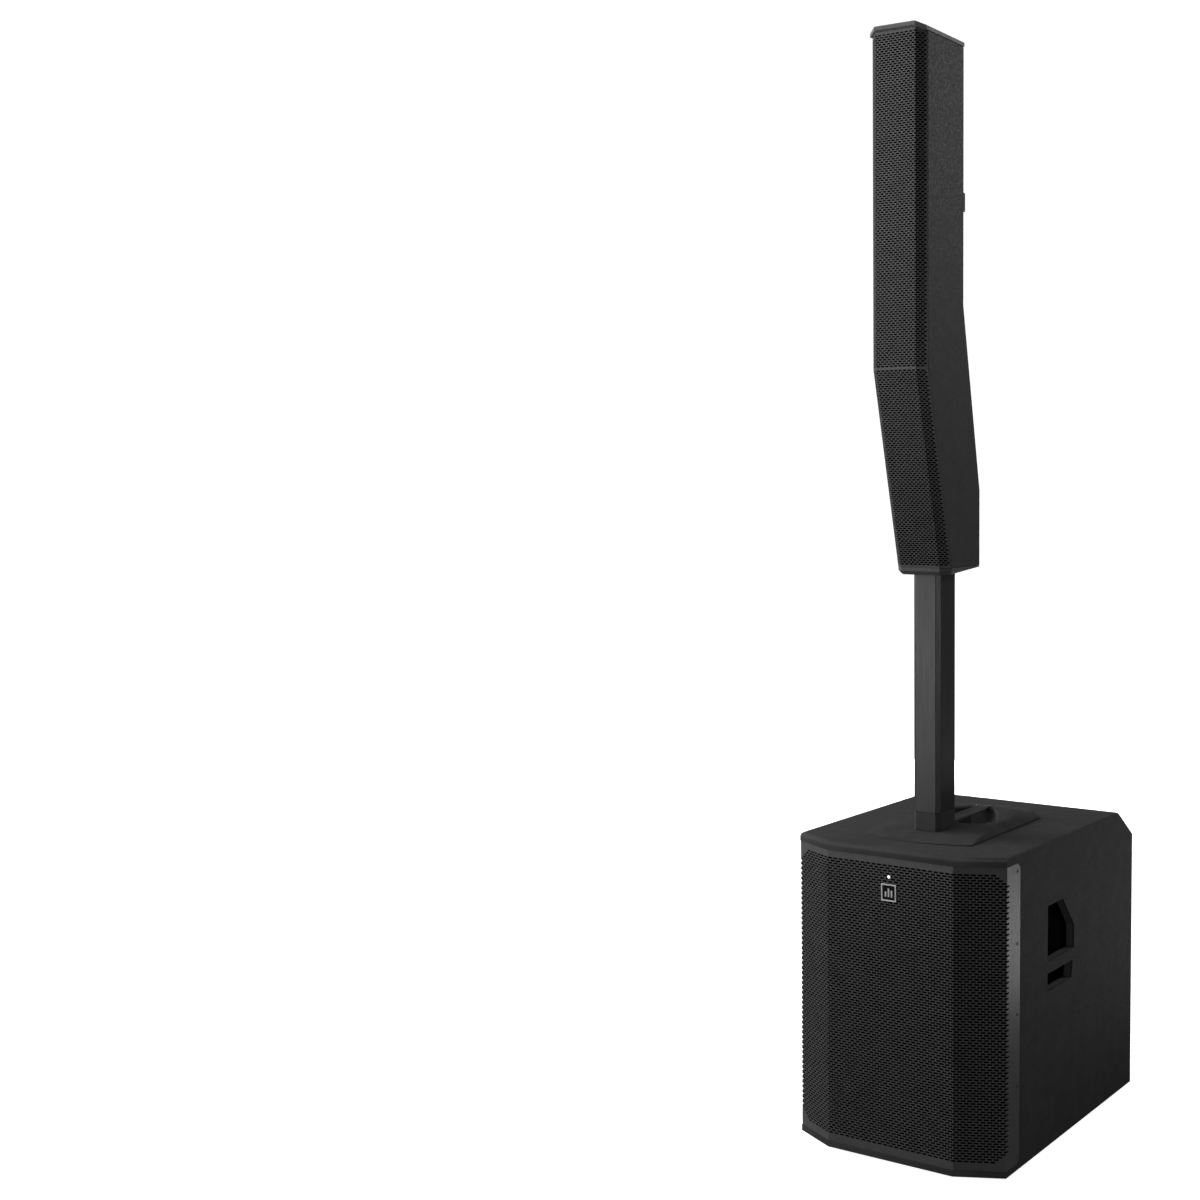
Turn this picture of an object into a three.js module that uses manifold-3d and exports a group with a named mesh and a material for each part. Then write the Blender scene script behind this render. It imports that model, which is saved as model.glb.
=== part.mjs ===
// A column PA system: a bass cabinet on four feet, a loudspeaker column, and a pole that plugs into both.
// Millimetres, +Z up. The origin is on the floor, under the middle of the bass cabinet's outline.
import * as THREE from "three";
import { mergeVertices } from "three/addons/utils/BufferGeometryUtils.js";
import { ConvexGeometry } from "three/addons/geometries/ConvexGeometry.js";
import Module from "manifold-3d";

const wasm = await Module();
wasm.setup();

// ---------- Driving dimensions ----------

// Bass cabinet. Its places are counted from the middle of its front and from its underside.
const CABINET_WIDTH = 430;
const CABINET_DEPTH = 565;
const CABINET_HEIGHT = 560;
const FOOT_HEIGHT = 10;
const PLY = 15; // top, bottom, back and baffle boards
const SIDE_PLY = 16;
const FACET_HALF_WIDTH = 130; // the flat middle of the front
const FACET_SETBACK = 38; // the front corners lie this far behind the middle
const SLOPE_TOP_Y = 494; // the rear top edge is cut off by a sloping board
const SLOPE_FOOT_Z = 504;
const GAP = 0.3; // between pieces that only rest on each other

// Bass cabinet grille
const GRILLE_SHEET = 1.5;
const GRILLE_INSET = 1.5; // behind the edges of the top and bottom boards
const GRILLE_FOOT_Z = 11;
const GRILLE_FLANGE_Y = 88;
const FLANGE_CORNER = 9;

// Pole mount on the top board. Its top ramps up from the front edge, past the pole, to a crest behind it.
const PAD_HEIGHT = 16;
const SEAT_HEIGHT = 11; // of the ramp at the pole's centre line
const POLE_Y = 155; // the pole's centre line
const SPIGOT_HALF = 22;
const SPIGOT_LENGTH = 38;
const SPIGOT_CLEARANCE = 0.6;
const BOWL_DEPTH = 42;
const BOWL_WALL = 3;

// Pole
const POLE_HALF_WIDTH = 28.5;
const POLE_HALF_DEPTH = 29;
const POLE_CHAMFER = 7.5;
const POLE_EASING = 1.2;
const POLE_WALL = 3;
const POLE_FOOT_HEIGHT = 31;

// Column. Its body is upright down to the fold and leans back below it. Its front corners are cut off at 45
// degrees, and the grille wraps round them.
const COLUMN_TOP_Z = 1971;
const COLUMN_VISOR_Z = 1978; // the top cap rises to this along its front edge
const COLUMN_BODY_TOP_Z = 1963;
const COLUMN_FOLD_Z = 1396;
const COLUMN_BODY_FOOT_Z = 1048;
const COLUMN_FRONT_Y = 26.5;
const COLUMN_FRONT_HALF_WIDTH = 40;
const COLUMN_HALF_WIDTH = 56;
const COLUMN_CORNER = 16;
const COLUMN_BACK_Y = 165;
const COLUMN_LEAN = 0.233; // millimetres back for each millimetre down
const COLUMN_REAR_BEND_Z = 1514;
const COLUMN_REAR_FOOT_Y = 225.5;
const COLUMN_REAR_FOOT_Z = 1186;
const COLUMN_UNDERSIDE_Z = 1034.5; // at the front; the back is higher
const COLUMN_UNDERSIDE_RISE = 11;
const COLUMN_WALL = 5;
const DRIVER_RADIUS = 43;
const DRIVER_PITCH = 108;
const HANDLE_Z = 1699; // the lifting handle on the column's back

// Woofer
const WOOFER_Z = 335;
const WOOFER_RADIUS = 157;
const BAFFLE_Y = 52;
const BAFFLE_BACK_Y = BAFFLE_Y + SIDE_PLY;
const PORT_X = 118;
const PORT_Z = 92;
const PORT_RADIUS = 48;

// Amplifier panel, set into the back board
const PANEL_HALF_WIDTH = 130;
const PANEL_FOOT_Z = 120;
const PANEL_TOP_Z = 440;
const PANEL_LIP = 8;
const PANEL_SHEET = 3;
const PANEL_Y = CABINET_DEPTH - PLY; // its outer face

const HALF_WIDTH = CABINET_WIDTH / 2;
const INNER_HALF = HALF_WIDTH - SIDE_PLY;
const TOP_BOARD_Z = CABINET_HEIGHT - PLY;
const PAD_TOP_Z = CABINET_HEIGHT + PAD_HEIGHT;
const SEAT_Z = CABINET_HEIGHT + SEAT_HEIGHT;

// ---------- Solids ----------

// A closed mesh as a manifold-3d solid.
function solidOf(geometry) {
  const position = (geometry.index ? geometry.toNonIndexed() : geometry).getAttribute("position");
  const merged = mergeVertices(new THREE.BufferGeometry().setAttribute("position", position), 1e-3);
  const corners = merged.index.array;
  const faces = [];
  for (let i = 0; i < corners.length; i += 3) {
    const [a, b, c] = [corners[i], corners[i + 1], corners[i + 2]];
    if (a !== b && b !== c && c !== a) faces.push(a, b, c);
  }
  const vertProperties = merged.attributes.position.array;
  return new wasm.Manifold(new wasm.Mesh({ numProp: 3, vertProperties, triVerts: new Uint32Array(faces) }));
}

function geometryOf(body) {
  const { vertProperties, numProp, numVert, triVerts } = body.getMesh();
  const places = new Float32Array(numVert * 3);
  for (let i = 0; i < numVert; i++) {
    const first = i * numProp;
    places.set(vertProperties.subarray(first, first + 3), i * 3);
  }
  const geometry = new THREE.BufferGeometry();
  geometry.setAttribute("position", new THREE.BufferAttribute(places, 3));
  geometry.setIndex(new THREE.BufferAttribute(triVerts, 1));
  return geometry;
}

function cut(geometry, ...tools) {
  return geometryOf(tools.reduce((body, tool) => body.subtract(solidOf(tool)), solidOf(geometry)));
}

function join(...geometries) {
  return geometryOf(geometries.map(solidOf).reduce((body, other) => body.add(other)));
}

function block(x0, x1, y0, y1, z0, z1) {
  const box = new THREE.BoxGeometry(x1 - x0, y1 - y0, z1 - z0);
  return box.translate((x0 + x1) / 2, (y0 + y1) / 2, (z0 + z1) / 2);
}

function extrude(outline, depth) {
  const shape = new THREE.Shape(outline.map(([u, v]) => new THREE.Vector2(u, v)));
  return new THREE.ExtrudeGeometry(shape, { depth, bevelEnabled: false, steps: 1 });
}

// An outline of [x, y] points, from z0 up to z1.
function planPrism(outline, z0, z1) {
  return extrude(outline, z1 - z0).translate(0, 0, z0);
}

// An outline of [y, z] points, from x0 to x1.
function sidePrism(outline, x0, x1) {
  const turn = new THREE.Matrix4().set(0, 0, 1, x0, 1, 0, 0, 0, 0, 1, 0, 0, 0, 0, 0, 1);
  return extrude(outline, x1 - x0).applyMatrix4(turn);
}

// An outline of [x, z] points, from y0 to y1.
function frontPrism(outline, y0, y1) {
  return extrude(outline, y1 - y0).rotateX(Math.PI / 2).translate(0, y1, 0);
}

// A block centred on x, z.
function blockAbout(x, z, halfX, halfZ, y0, y1) {
  return block(x - halfX, x + halfX, y0, y1, z - halfZ, z + halfZ);
}

// A profile of [radius, y] points turned about the Y axis, then moved to x, z. It runs anticlockwise.
function turnedAlongY(profile, segments, x = 0, z = 0) {
  const points = profile.map(([r, y]) => new THREE.Vector2(r, y));
  return new THREE.LatheGeometry(points, segments).translate(x, 0, z);
}

// A profile of [radius, z] points turned about a vertical axis at x, y.
function turnedAlongZ(profile, segments, x = 0, y = 0) {
  const points = profile.map(([r, z]) => new THREE.Vector2(r, z));
  return new THREE.LatheGeometry(points, segments).rotateX(Math.PI / 2).translate(x, y, 0);
}

function rodAlongY(radius, y0, y1, segments, x = 0, z = 0) {
  return turnedAlongY([[0, y0], [radius, y0], [radius, y1], [0, y1]], segments, x, z);
}

// A convex solid round all the rings' [x, y, z] corners.
function hull(...rings) {
  return new ConvexGeometry(rings.flat().map(([x, y, z]) => new THREE.Vector3(x, y, z)));
}

// Mirrors a half outline of [x, y] points about x = 0 and closes it.
function mirrored(half) {
  return [...half, ...half.map(([x, y]) => [-x, y]).reverse()];
}

function chamferedRectangle(halfX, halfY, chamfer, y = 0) {
  return [
    [halfX - chamfer, y - halfY],
    [halfX, y - halfY + chamfer],
    [halfX, y + halfY - chamfer],
    [halfX - chamfer, y + halfY],
    [chamfer - halfX, y + halfY],
    [-halfX, y + halfY - chamfer],
    [-halfX, y - halfY + chamfer],
    [chamfer - halfX, y - halfY],
  ];
}

// ---------- Materials and nodes ----------

function finish(color, roughness, metalness) {
  return new THREE.MeshStandardMaterial({ color, roughness, metalness });
}

const coatedPly = finish(0x2c2c2d, 0.75, 0);
const bareWood = finish(0x8f6f4c, 0.85, 0);
const blackSteel = finish(0x1c1c1d, 0.5, 0.4);
const blackAluminium = finish(0x323233, 0.45, 0.5);
const bareAluminium = finish(0xb4b5b8, 0.4, 0.9);
const mouldedPlastic = finish(0x222223, 0.6, 0);
const rubber = finish(0x161616, 0.9, 0);
const paper = finish(0x191919, 0.9, 0);
const ferrite = finish(0x2a2a2c, 0.6, 0.3);
const litWhite = finish(0xf2f2f2, 0.3, 0);
const badgeMetal = finish(0xd0d0d2, 0.3, 0.8);
const darkGlass = finish(0x0b0d10, 0.1, 0);
const contacts = finish(0x3a3a36, 0.4, 0.4);
const greenBoard = finish(0x16402a, 0.6, 0);

const bassCabinet = new THREE.Group();
const pole = new THREE.Group();
const column = new THREE.Group();

function node(group, name, geometry, material) {
  const mesh = new THREE.Mesh(geometry, material);
  mesh.name = name;
  group.add(mesh);
}

// ---------- Bass cabinet: boards ----------

// The outline of the top and bottom boards, pulled in by inset at the front and sides.
function boardOutline(rearY, inset = 0) {
  return mirrored([
    [FACET_HALF_WIDTH - inset * 0.2, inset],
    [HALF_WIDTH - inset, FACET_SETBACK + inset * 0.7],
    [HALF_WIDTH - inset, rearY],
  ]);
}

const slopeRun = (CABINET_DEPTH - SLOPE_TOP_Y) / (CABINET_HEIGHT - SLOPE_FOOT_Z);
const slopeY = (z) => CABINET_DEPTH - (z - SLOPE_FOOT_Z) * slopeRun;

function topBoard() {
  const board = planPrism(boardOutline(slopeY(TOP_BOARD_Z)), TOP_BOARD_Z, CABINET_HEIGHT);
  const slope = sidePrism(
    [[SLOPE_TOP_Y, CABINET_HEIGHT], [slopeY(TOP_BOARD_Z - 5), TOP_BOARD_Z - 5], [600, TOP_BOARD_Z - 5],
      [600, CABINET_HEIGHT + 5], [slopeY(CABINET_HEIGHT + 5), CABINET_HEIGHT + 5]],
    -HALF_WIDTH - 5, HALF_WIDTH + 5,
  );
  const mountOpening = block(-86, 86, 116, 356, TOP_BOARD_Z - 5, CABINET_HEIGHT + 5);
  return cut(board, slope, mountOpening);
}

// The grille's lower edge laps the board, which steps back behind it.
function bottomBoard() {
  const lower = planPrism(boardOutline(CABINET_DEPTH), 0, GRILLE_FOOT_Z);
  const upper = planPrism(boardOutline(CABINET_DEPTH, GRILLE_INSET + GRILLE_SHEET + 1), GRILLE_FOOT_Z, PLY);
  const rest = block(-HALF_WIDTH, HALF_WIDTH, GRILLE_FLANGE_Y + 1, CABINET_DEPTH, GRILLE_FOOT_Z, PLY);
  return join(lower, upper, rest);
}

// Each side has a window for the fingers above a grip bar and a smaller one under it.
const UPPER_WINDOW = [[194, 341], [302, 341], [302, 384], [255, 443], [194, 443]];
const LOWER_WINDOW = [[194, 287], [291, 287], [297, 319], [194, 319]];

function sideBoard(side) {
  const [inner, outer] = [INNER_HALF, HALF_WIDTH];
  const profile = [[FACET_SETBACK + 4, PLY], [CABINET_DEPTH, PLY], [CABINET_DEPTH, SLOPE_FOOT_Z],
    [slopeY(TOP_BOARD_Z), TOP_BOARD_Z], [FACET_SETBACK + 4, TOP_BOARD_Z]];
  const rebateX = outer - GRILLE_INSET - GRILLE_SHEET - 1;
  const flangeRebate = block(rebateX, outer + 5, 0, GRILLE_FLANGE_Y + 1, 0, CABINET_HEIGHT);
  const board = cut(
    sidePrism(profile, inner, outer),
    flangeRebate,
    sidePrism(UPPER_WINDOW, inner - 5, outer + 5),
    sidePrism(LOWER_WINDOW, inner - 5, outer + 5),
  );
  return side > 0 ? board : flipX(board);
}

// The mirror image about x = 0, with its faces still pointing out.
function flipX(geometry) {
  return geometryOf(solidOf(geometry).mirror([1, 0, 0]));
}

// A deep cup behind the windows keeps the cabinet airtight.
function handleCup(side) {
  const [wall, depth] = [3, 50];
  const cup = cut(
    block(INNER_HALF - depth, INNER_HALF - GAP, 180, 316, 272, 458),
    block(INNER_HALF - depth + wall, INNER_HALF + 5, 180 + wall, 316 - wall, 272 + wall, 458 - wall),
  );
  return side > 0 ? cup : flipX(cup);
}

function backBoard() {
  const board = block(-INNER_HALF, INNER_HALF, PANEL_Y, CABINET_DEPTH, PLY, SLOPE_FOOT_Z - 8);
  const half = PANEL_HALF_WIDTH;
  return cut(board, block(-half, half, PANEL_Y - 5, CABINET_DEPTH + 5, PANEL_FOOT_Z, PANEL_TOP_Z));
}

function slopingBoard() {
  const foot = SLOPE_FOOT_Z - 8 + GAP;
  const top = TOP_BOARD_Z - GAP;
  const outline = [
    [PANEL_Y, foot],
    [CABINET_DEPTH, foot],
    [CABINET_DEPTH, SLOPE_FOOT_Z],
    [slopeY(top), top],
    [slopeY(top) - 24, top],
  ];
  return sidePrism(outline, -INNER_HALF, INNER_HALF);
}

function frontBaffle() {
  const board = block(-INNER_HALF, INNER_HALF, BAFFLE_Y, BAFFLE_BACK_Y, PLY, TOP_BOARD_Z);
  const holes = [-PORT_X, PORT_X].map((x) => rodAlongY(PORT_RADIUS + GAP, 0, 200, 32, x, PORT_Z));
  return cut(board, rodAlongY(141, 0, 200, 48, 0, WOOFER_Z), ...holes);
}

function internalBrace() {
  const board = block(-INNER_HALF, INNER_HALF, 330, 345, PLY, 505);
  return cut(board, frontPrism(mirrored([[90, 80], [130, 120], [130, 400], [90, 440]]), 320, 360));
}

node(bassCabinet, "top_board", topBoard(), coatedPly);
node(bassCabinet, "bottom_board", bottomBoard(), coatedPly);
node(bassCabinet, "left_side_board", sideBoard(-1), coatedPly);
node(bassCabinet, "right_side_board", sideBoard(1), coatedPly);
node(bassCabinet, "back_board", backBoard(), coatedPly);
node(bassCabinet, "rear_sloping_board", slopingBoard(), coatedPly);
node(bassCabinet, "front_baffle", frontBaffle(), bareWood);
node(bassCabinet, "internal_brace", internalBrace(), bareWood);
node(bassCabinet, "left_handle_cup", handleCup(-1), mouldedPlastic);
node(bassCabinet, "right_handle_cup", handleCup(1), mouldedPlastic);

// ---------- Bass cabinet: feet, grille and ports ----------

function foot(x, y) {
  const profile = [[0, -FOOT_HEIGHT], [13, -FOOT_HEIGHT], [15, 2 - FOOT_HEIGHT], [17, 0], [0, 0]];
  return turnedAlongZ(profile, 20, x, y);
}

for (const [end, y] of [["front", 64], ["rear", 525]]) {
  for (const [side, x] of [["left", -186], ["right", 186]]) {
    node(bassCabinet, `${end}_${side}_foot`, foot(x, y), rubber);
  }
}

// A half outline of [x, y] points and the same half pulled in, joined into a closed sheet about x = 0.
function sheetOutline(outer, inner) {
  const flip = ([x, y]) => [-x, y];
  return [...outer, ...[...inner].reverse(), ...inner.map(flip), ...outer.map(flip).reverse()];
}

// A folded sheet: three front faces and a flange along each side, with its rear corners cut off.
function bassGrille() {
  const faceHalf = HALF_WIDTH - GAP;
  const face = (inset) => [
    [FACET_HALF_WIDTH - inset * 0.2, GRILLE_INSET + inset],
    [faceHalf - inset, FACET_SETBACK + GRILLE_INSET + inset * 0.7],
    [faceHalf - inset, GRILLE_FLANGE_Y],
  ];
  const [z0, z1] = [GRILLE_FOOT_Z + GAP, TOP_BOARD_Z - GAP];
  const cornerCut = (z, up) => {
    const [rear, reach] = [GRILLE_FLANGE_Y + 1, FLANGE_CORNER + 2];
    const outline = [[rear - reach, z + up], [rear, z + up], [rear, z + up * (1 - reach)]];
    return sidePrism(up > 0 ? outline.reverse() : outline, -HALF_WIDTH - 5, HALF_WIDTH + 5);
  };
  const sheet = planPrism(sheetOutline(face(0), face(GRILLE_SHEET)), z0, z1);
  return cut(sheet, cornerCut(z1, 1), cornerCut(z0, -1));
}

function portTube(x) {
  const [y0, y1, bore] = [BAFFLE_Y, 240, PORT_RADIUS - 3];
  const wall = [[bore, y0], [PORT_RADIUS, y0], [PORT_RADIUS, y1], [bore, y1], [bore, y0]];
  return turnedAlongY(wall, 32, x, PORT_Z);
}

node(bassCabinet, "bass_grille", bassGrille(), blackSteel);
node(bassCabinet, "left_port_tube", portTube(-PORT_X), mouldedPlastic);
node(bassCabinet, "right_port_tube", portTube(PORT_X), mouldedPlastic);

// The status light and the badge sit on the grille's face.
const STATUS_LIGHT_Z = 511;
const BADGE_Z = 483;
const BADGE_HALF = 15.5;
const onGrille = GRILLE_INSET - 0.1;
node(bassCabinet, "status_light", rodAlongY(2.6, 0.2, onGrille, 12, 0, STATUS_LIGHT_Z), litWhite);
node(bassCabinet, "badge", blockAbout(0, BADGE_Z, BADGE_HALF, BADGE_HALF, 0, onGrille), badgeMetal);

// ---------- Bass cabinet: woofer ----------

const WOOFER_SEGMENTS = 36;
const FLANGE_Y = BAFFLE_Y - 6;

function wooferFrame() {
  const profile = [
    [134, FLANGE_Y + 2], [137, FLANGE_Y], [WOOFER_RADIUS, FLANGE_Y], [WOOFER_RADIUS, BAFFLE_Y - GAP],
    [140, BAFFLE_Y - GAP], [139, 62], [88, 128], [88, 136], [40, 136], [40, 132], [80, 132], [80, 124],
    [134, 56], [134, FLANGE_Y + 2],
  ];
  const shell = turnedAlongY(profile, WOOFER_SEGMENTS, 0, WOOFER_Z);
  const windows = Array.from({ length: 6 }, (_, i) => {
    const window = frontPrism([[-26, 82], [26, 82], [38, 146], [-38, 146]], 74, 122);
    return window.rotateY((i * Math.PI) / 3).translate(0, 0, WOOFER_Z);
  });
  return cut(shell, ...windows);
}

function wooferMagnet() {
  const profile = [
    [0, 140], [36, 140], [36, 136 + GAP], [70, 136 + GAP], [72, 139], [72, 176], [70, 178], [0, 178],
  ];
  return turnedAlongY(profile, WOOFER_SEGMENTS, 0, WOOFER_Z);
}

// The half-round rubber roll between the frame and the cone.
function wooferSurround() {
  const [inner, outer, thick] = [113.5, 133.5, 1.4];
  const [middle, radius] = [(inner + outer) / 2, (outer - inner) / 2];
  const roll = (r, from, to) => Array.from({ length: 7 }, (_, i) => {
    const angle = from + ((to - from) * i) / 6;
    return [middle + r * Math.cos(angle), FLANGE_Y + 4 - r * Math.sin(angle)];
  });
  const profile = [...roll(radius, Math.PI, 0), ...roll(radius - thick, 0, Math.PI)];
  return turnedAlongY([...profile, profile[0]], WOOFER_SEGMENTS, 0, WOOFER_Z);
}

// Cone, dust cap and voice coil former move together.
function wooferCone() {
  const profile = [
    [0, 84], [22, 88], [36, 96], [112.8, 50], [112.8, 54], [40, 102], [33, 106], [33, 133], [30, 133],
    [30, 100], [0, 92],
  ];
  return turnedAlongY(profile, WOOFER_SEGMENTS, 0, WOOFER_Z);
}

node(bassCabinet, "woofer_frame", wooferFrame(), blackAluminium);
node(bassCabinet, "woofer_magnet", wooferMagnet(), ferrite);
node(bassCabinet, "woofer_surround", wooferSurround(), rubber);
node(bassCabinet, "woofer_cone", wooferCone(), paper);

// ---------- Bass cabinet: pole mount and top handle ----------

// A shield-shaped bowl, wide behind the pole and narrow at the back, grown by over all round.
function bowl(over, top) {
  const rim = mirrored([[46, 196], [68, 206], [79, 228], [79, 250], [50, 304], [24, 340]]);
  const [middle, half] = [262, 70];
  const ring = (share, z) => rim.map(([x, y]) => {
    const grown = [x + Math.sign(x) * over, y + (over * (y - middle)) / half];
    return [grown[0] * share, middle + (grown[1] - middle) * share, z];
  });
  const floor = PAD_TOP_Z - BOWL_DEPTH - over;
  return hull(ring(0.7, floor), ring(0.86, floor + 8), ring(1, PAD_TOP_Z - 9), ring(1, top));
}

// A block about the pole's centre line.
function postAt(half, z0, z1) {
  return block(-half, half, POLE_Y - half, POLE_Y + half, z0, z1);
}

// The pad's outer shape, whose edge stands a little higher along the sides than along the front.
function padBody() {
  const edge = CABINET_HEIGHT + GAP;
  const base = mirrored([
    [22, 70, 1.2], [60, 76, 1.2], [92, 84, 1.4], [115, 93, 2], [112, 362, 3], [72, 408, 2], [36, 437, 1.2],
  ]);
  const crest = mirrored([[40, 187], [100, 196], [95, 284], [74, 345], [40, 354]]);
  return hull(
    base.map(([x, y]) => [x, y, edge]),
    base.map(([x, y, rim]) => [x, y, edge + rim]),
    crest.map(([x, y]) => [x, y, PAD_TOP_Z]),
  );
}

// The pad with the pole's socket and the bowl under it.
function poleMount() {
  const wellHalf = SPIGOT_HALF + SPIGOT_CLEARANCE;
  const wellFloor = SEAT_Z - SPIGOT_LENGTH - 16;
  const socket = postAt(wellHalf + 6, wellFloor - 3, CABINET_HEIGHT + 4);
  const solid = join(padBody(), socket, bowl(BOWL_WALL, CABINET_HEIGHT + 4));
  return cut(solid, postAt(wellHalf, wellFloor, PAD_TOP_Z + 5), bowl(0, PAD_TOP_Z + 5));
}

// Spring contacts on the floor of the socket carry the signal up the pole.
function contactBlock() {
  const top = SEAT_Z - SPIGOT_LENGTH - 3;
  const base = block(-16, 16, POLE_Y - 10, POLE_Y + 10, top - 12.5, top - 4);
  const pin = (x) => block(x - 2, x + 2, POLE_Y - 3, POLE_Y + 3, top - 5, top);
  return join(base, ...[-10.5, -3.5, 3.5, 10.5].map(pin));
}

// A bar that runs front to back over the bowl and rises towards the back, with room for fingers under it.
function topHandle() {
  const [z, half] = [PAD_TOP_Z + GAP, 17];
  const underside = [[187, z], [198, z], [208, z - 6], [328, z - 2], [341, z], [354, z]];
  const upperSide = [[350, z + 4], [338, z + 8], [322, z + 8], [214, z + 3], [192, z + 1.5]];
  return sidePrism([...underside, ...upperSide], -half, half);
}

node(bassCabinet, "pole_mount_plate", poleMount(), mouldedPlastic);
node(bassCabinet, "socket_contacts", contactBlock(), contacts);
node(bassCabinet, "top_handle", topHandle(), mouldedPlastic);

// ---------- Bass cabinet: amplifier ----------

const JACK_Z = 320;
const JACKS = { combo_jack_1: -84, combo_jack_2: -28, link_jack: 28 };
const JACK_BARREL = 11.8;
const INLET = { x: -84, z: 160 };
const ROCKER = { x: -20, z: 160 };
const ENCODER = { x: 40, z: 403 };
const LEVEL_Z = 362;

function ampPanel() {
  const sheet = block(
    -PANEL_HALF_WIDTH - PANEL_LIP, PANEL_HALF_WIDTH + PANEL_LIP, PANEL_Y - GAP - PANEL_SHEET, PANEL_Y - GAP,
    PANEL_FOOT_Z - PANEL_LIP, PANEL_TOP_Z + PANEL_LIP,
  );
  const jackHoles = Object.values(JACKS).map((x) => rodAlongY(JACK_BARREL + GAP, 530, 560, 24, x, JACK_Z));
  const inletHole = block(INLET.x - 15.5, INLET.x + 15.5, 530, 560, INLET.z - 11.5, INLET.z + 11.5);
  const rockerHole = block(ROCKER.x - 10, ROCKER.x + 10, 530, 560, ROCKER.z - 14, ROCKER.z + 14);
  return cut(sheet, ...jackHoles, inletHole, rockerHole);
}

function heatSink() {
  const [x0, x1, z0, z1] = [-118, 118, 196, 282];
  const base = block(x0, x1, PANEL_Y, PANEL_Y + 3, z0, z1);
  const count = 17;
  const pitch = (x1 - x0 - 3) / (count - 1);
  const fins = Array.from({ length: count }, (_, i) => {
    const x = x0 + i * pitch;
    return block(x, x + 3, PANEL_Y + 2, PANEL_Y + 13.5, z0, z1);
  });
  return join(base, ...fins);
}

// An open tray behind the panel.
function ampChassis() {
  const [half, y0, y1, wall] = [124, 468, PANEL_Y - PANEL_SHEET - 2 * GAP, 2];
  return cut(
    block(-half, half, y0, y1, PANEL_FOOT_Z + 6, PANEL_TOP_Z - 6),
    block(-half + wall, half - wall, y0 + wall, y1 + 5, PANEL_FOOT_Z + 6 + wall, PANEL_TOP_Z - 6 - wall),
  );
}

function ampBoard() {
  const board = block(-112, 112, 473, 475, 140, 420);
  const capacitors = [[-70, 250], [-35, 250], [0, 250]].map(([x, z]) => rodAlongY(14, 474, 515, 16, x, z));
  const transformer = block(35, 95, 474, 512, 210, 270);
  return join(board, ...capacitors, transformer);
}

// A square flange with a round barrel behind it; the socket is open to the rear.
function jack(x, pins) {
  const flange = block(x - 13, x + 13, PANEL_Y, PANEL_Y + 2.5, JACK_Z - 15.5, JACK_Z + 15.5);
  const barrel = rodAlongY(JACK_BARREL, 524, PANEL_Y + 1, 24, x, JACK_Z);
  const socket = rodAlongY(9.2, 529, 560, 20, x, JACK_Z);
  const tabNotch = block(x - 4.5, x + 4.5, PANEL_Y + 0.8, 560, JACK_Z + 9.9, JACK_Z + 15);
  const whole = cut(join(flange, barrel), socket, ...(pins ? [] : [tabNotch]));
  const pinRods = Array.from({ length: 3 }, (_, i) => {
    const angle = (i * 2 * Math.PI) / 3 - Math.PI / 2;
    return rodAlongY(1.4, 528, 543, 8, x + 4.6 * Math.cos(angle), JACK_Z + 4.6 * Math.sin(angle));
  });
  return pins ? join(whole, ...pinRods) : whole;
}

// The tab that lets a plug go. It slides down in its notch.
function latchTab(x) {
  return block(x - 4, x + 4, PANEL_Y + 1.2, PANEL_Y + 4.5, JACK_Z + 12, JACK_Z + 14.5);
}

function powerInlet() {
  const { x, z } = INLET;
  const outline = [[-25, 0], [-15, -13.5], [15, -13.5], [25, 0], [15, 13.5], [-15, 13.5]];
  const flange = frontPrism(outline.map(([u, v]) => [x + u, z + v]), PANEL_Y, PANEL_Y + 3);
  const body = blockAbout(x, z, 15, 11, 522, PANEL_Y + 1);
  const well = blockAbout(x, z, 12, 8, 526, CABINET_DEPTH);
  const blades = [[-7, -1], [0, 3], [7, -1]].map(([u, v]) => blockAbout(x + u, z + v, 1, 2, 525, 543));
  return join(cut(join(flange, body), well), ...blades);
}

// Shown switched on: its lower half is pressed in and the upper half stands out.
function powerRocker() {
  const { x, z } = ROCKER;
  const outline = [[-8, 0], [-2, -12], [2.5, -12], [3, 0], [8, 11.2], [3, 12.2]];
  return sidePrism(outline.map(([y, up]) => [PANEL_Y + y, z + up]), x - 9.4, x + 9.4);
}

// A tapered knob with a raised pointer. It may have a bore for its shaft.
function knob(x, z, radius, height, bore = 0) {
  const [y0, y1] = [PANEL_Y + 1.4, PANEL_Y + height];
  const profile = [[0, y0], [radius, y0], [radius * 0.86, y1 - 1], [radius * 0.8, y1], [0, y1]];
  const pointer = block(x - 1, x + 1, y1 - 1, y1 + 0.5, z + radius * 0.3, z + radius * 0.78);
  const cap = join(turnedAlongY(profile, 24, x, z), pointer);
  return bore ? cut(cap, rodAlongY(bore, y0 - 1, y1 - 3, 12, x, z)) : cap;
}

node(bassCabinet, "amplifier_panel", ampPanel(), blackAluminium);
node(bassCabinet, "heat_sink", heatSink(), blackAluminium);
node(bassCabinet, "amplifier_chassis", ampChassis(), bareAluminium);
node(bassCabinet, "amplifier_board", ampBoard(), greenBoard);
node(bassCabinet, "display_window", block(-92, 4, PANEL_Y, PANEL_Y + 2, 384, 424), darkGlass);
node(bassCabinet, "combo_jack_1", jack(JACKS.combo_jack_1, false), mouldedPlastic);
node(bassCabinet, "combo_jack_2", jack(JACKS.combo_jack_2, false), mouldedPlastic);
node(bassCabinet, "link_jack", jack(JACKS.link_jack, true), mouldedPlastic);
node(bassCabinet, "latch_tab_1", latchTab(JACKS.combo_jack_1), bareAluminium);
node(bassCabinet, "latch_tab_2", latchTab(JACKS.combo_jack_2), bareAluminium);
node(bassCabinet, "power_inlet", powerInlet(), mouldedPlastic);
node(bassCabinet, "power_rocker", powerRocker(), mouldedPlastic);
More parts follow.
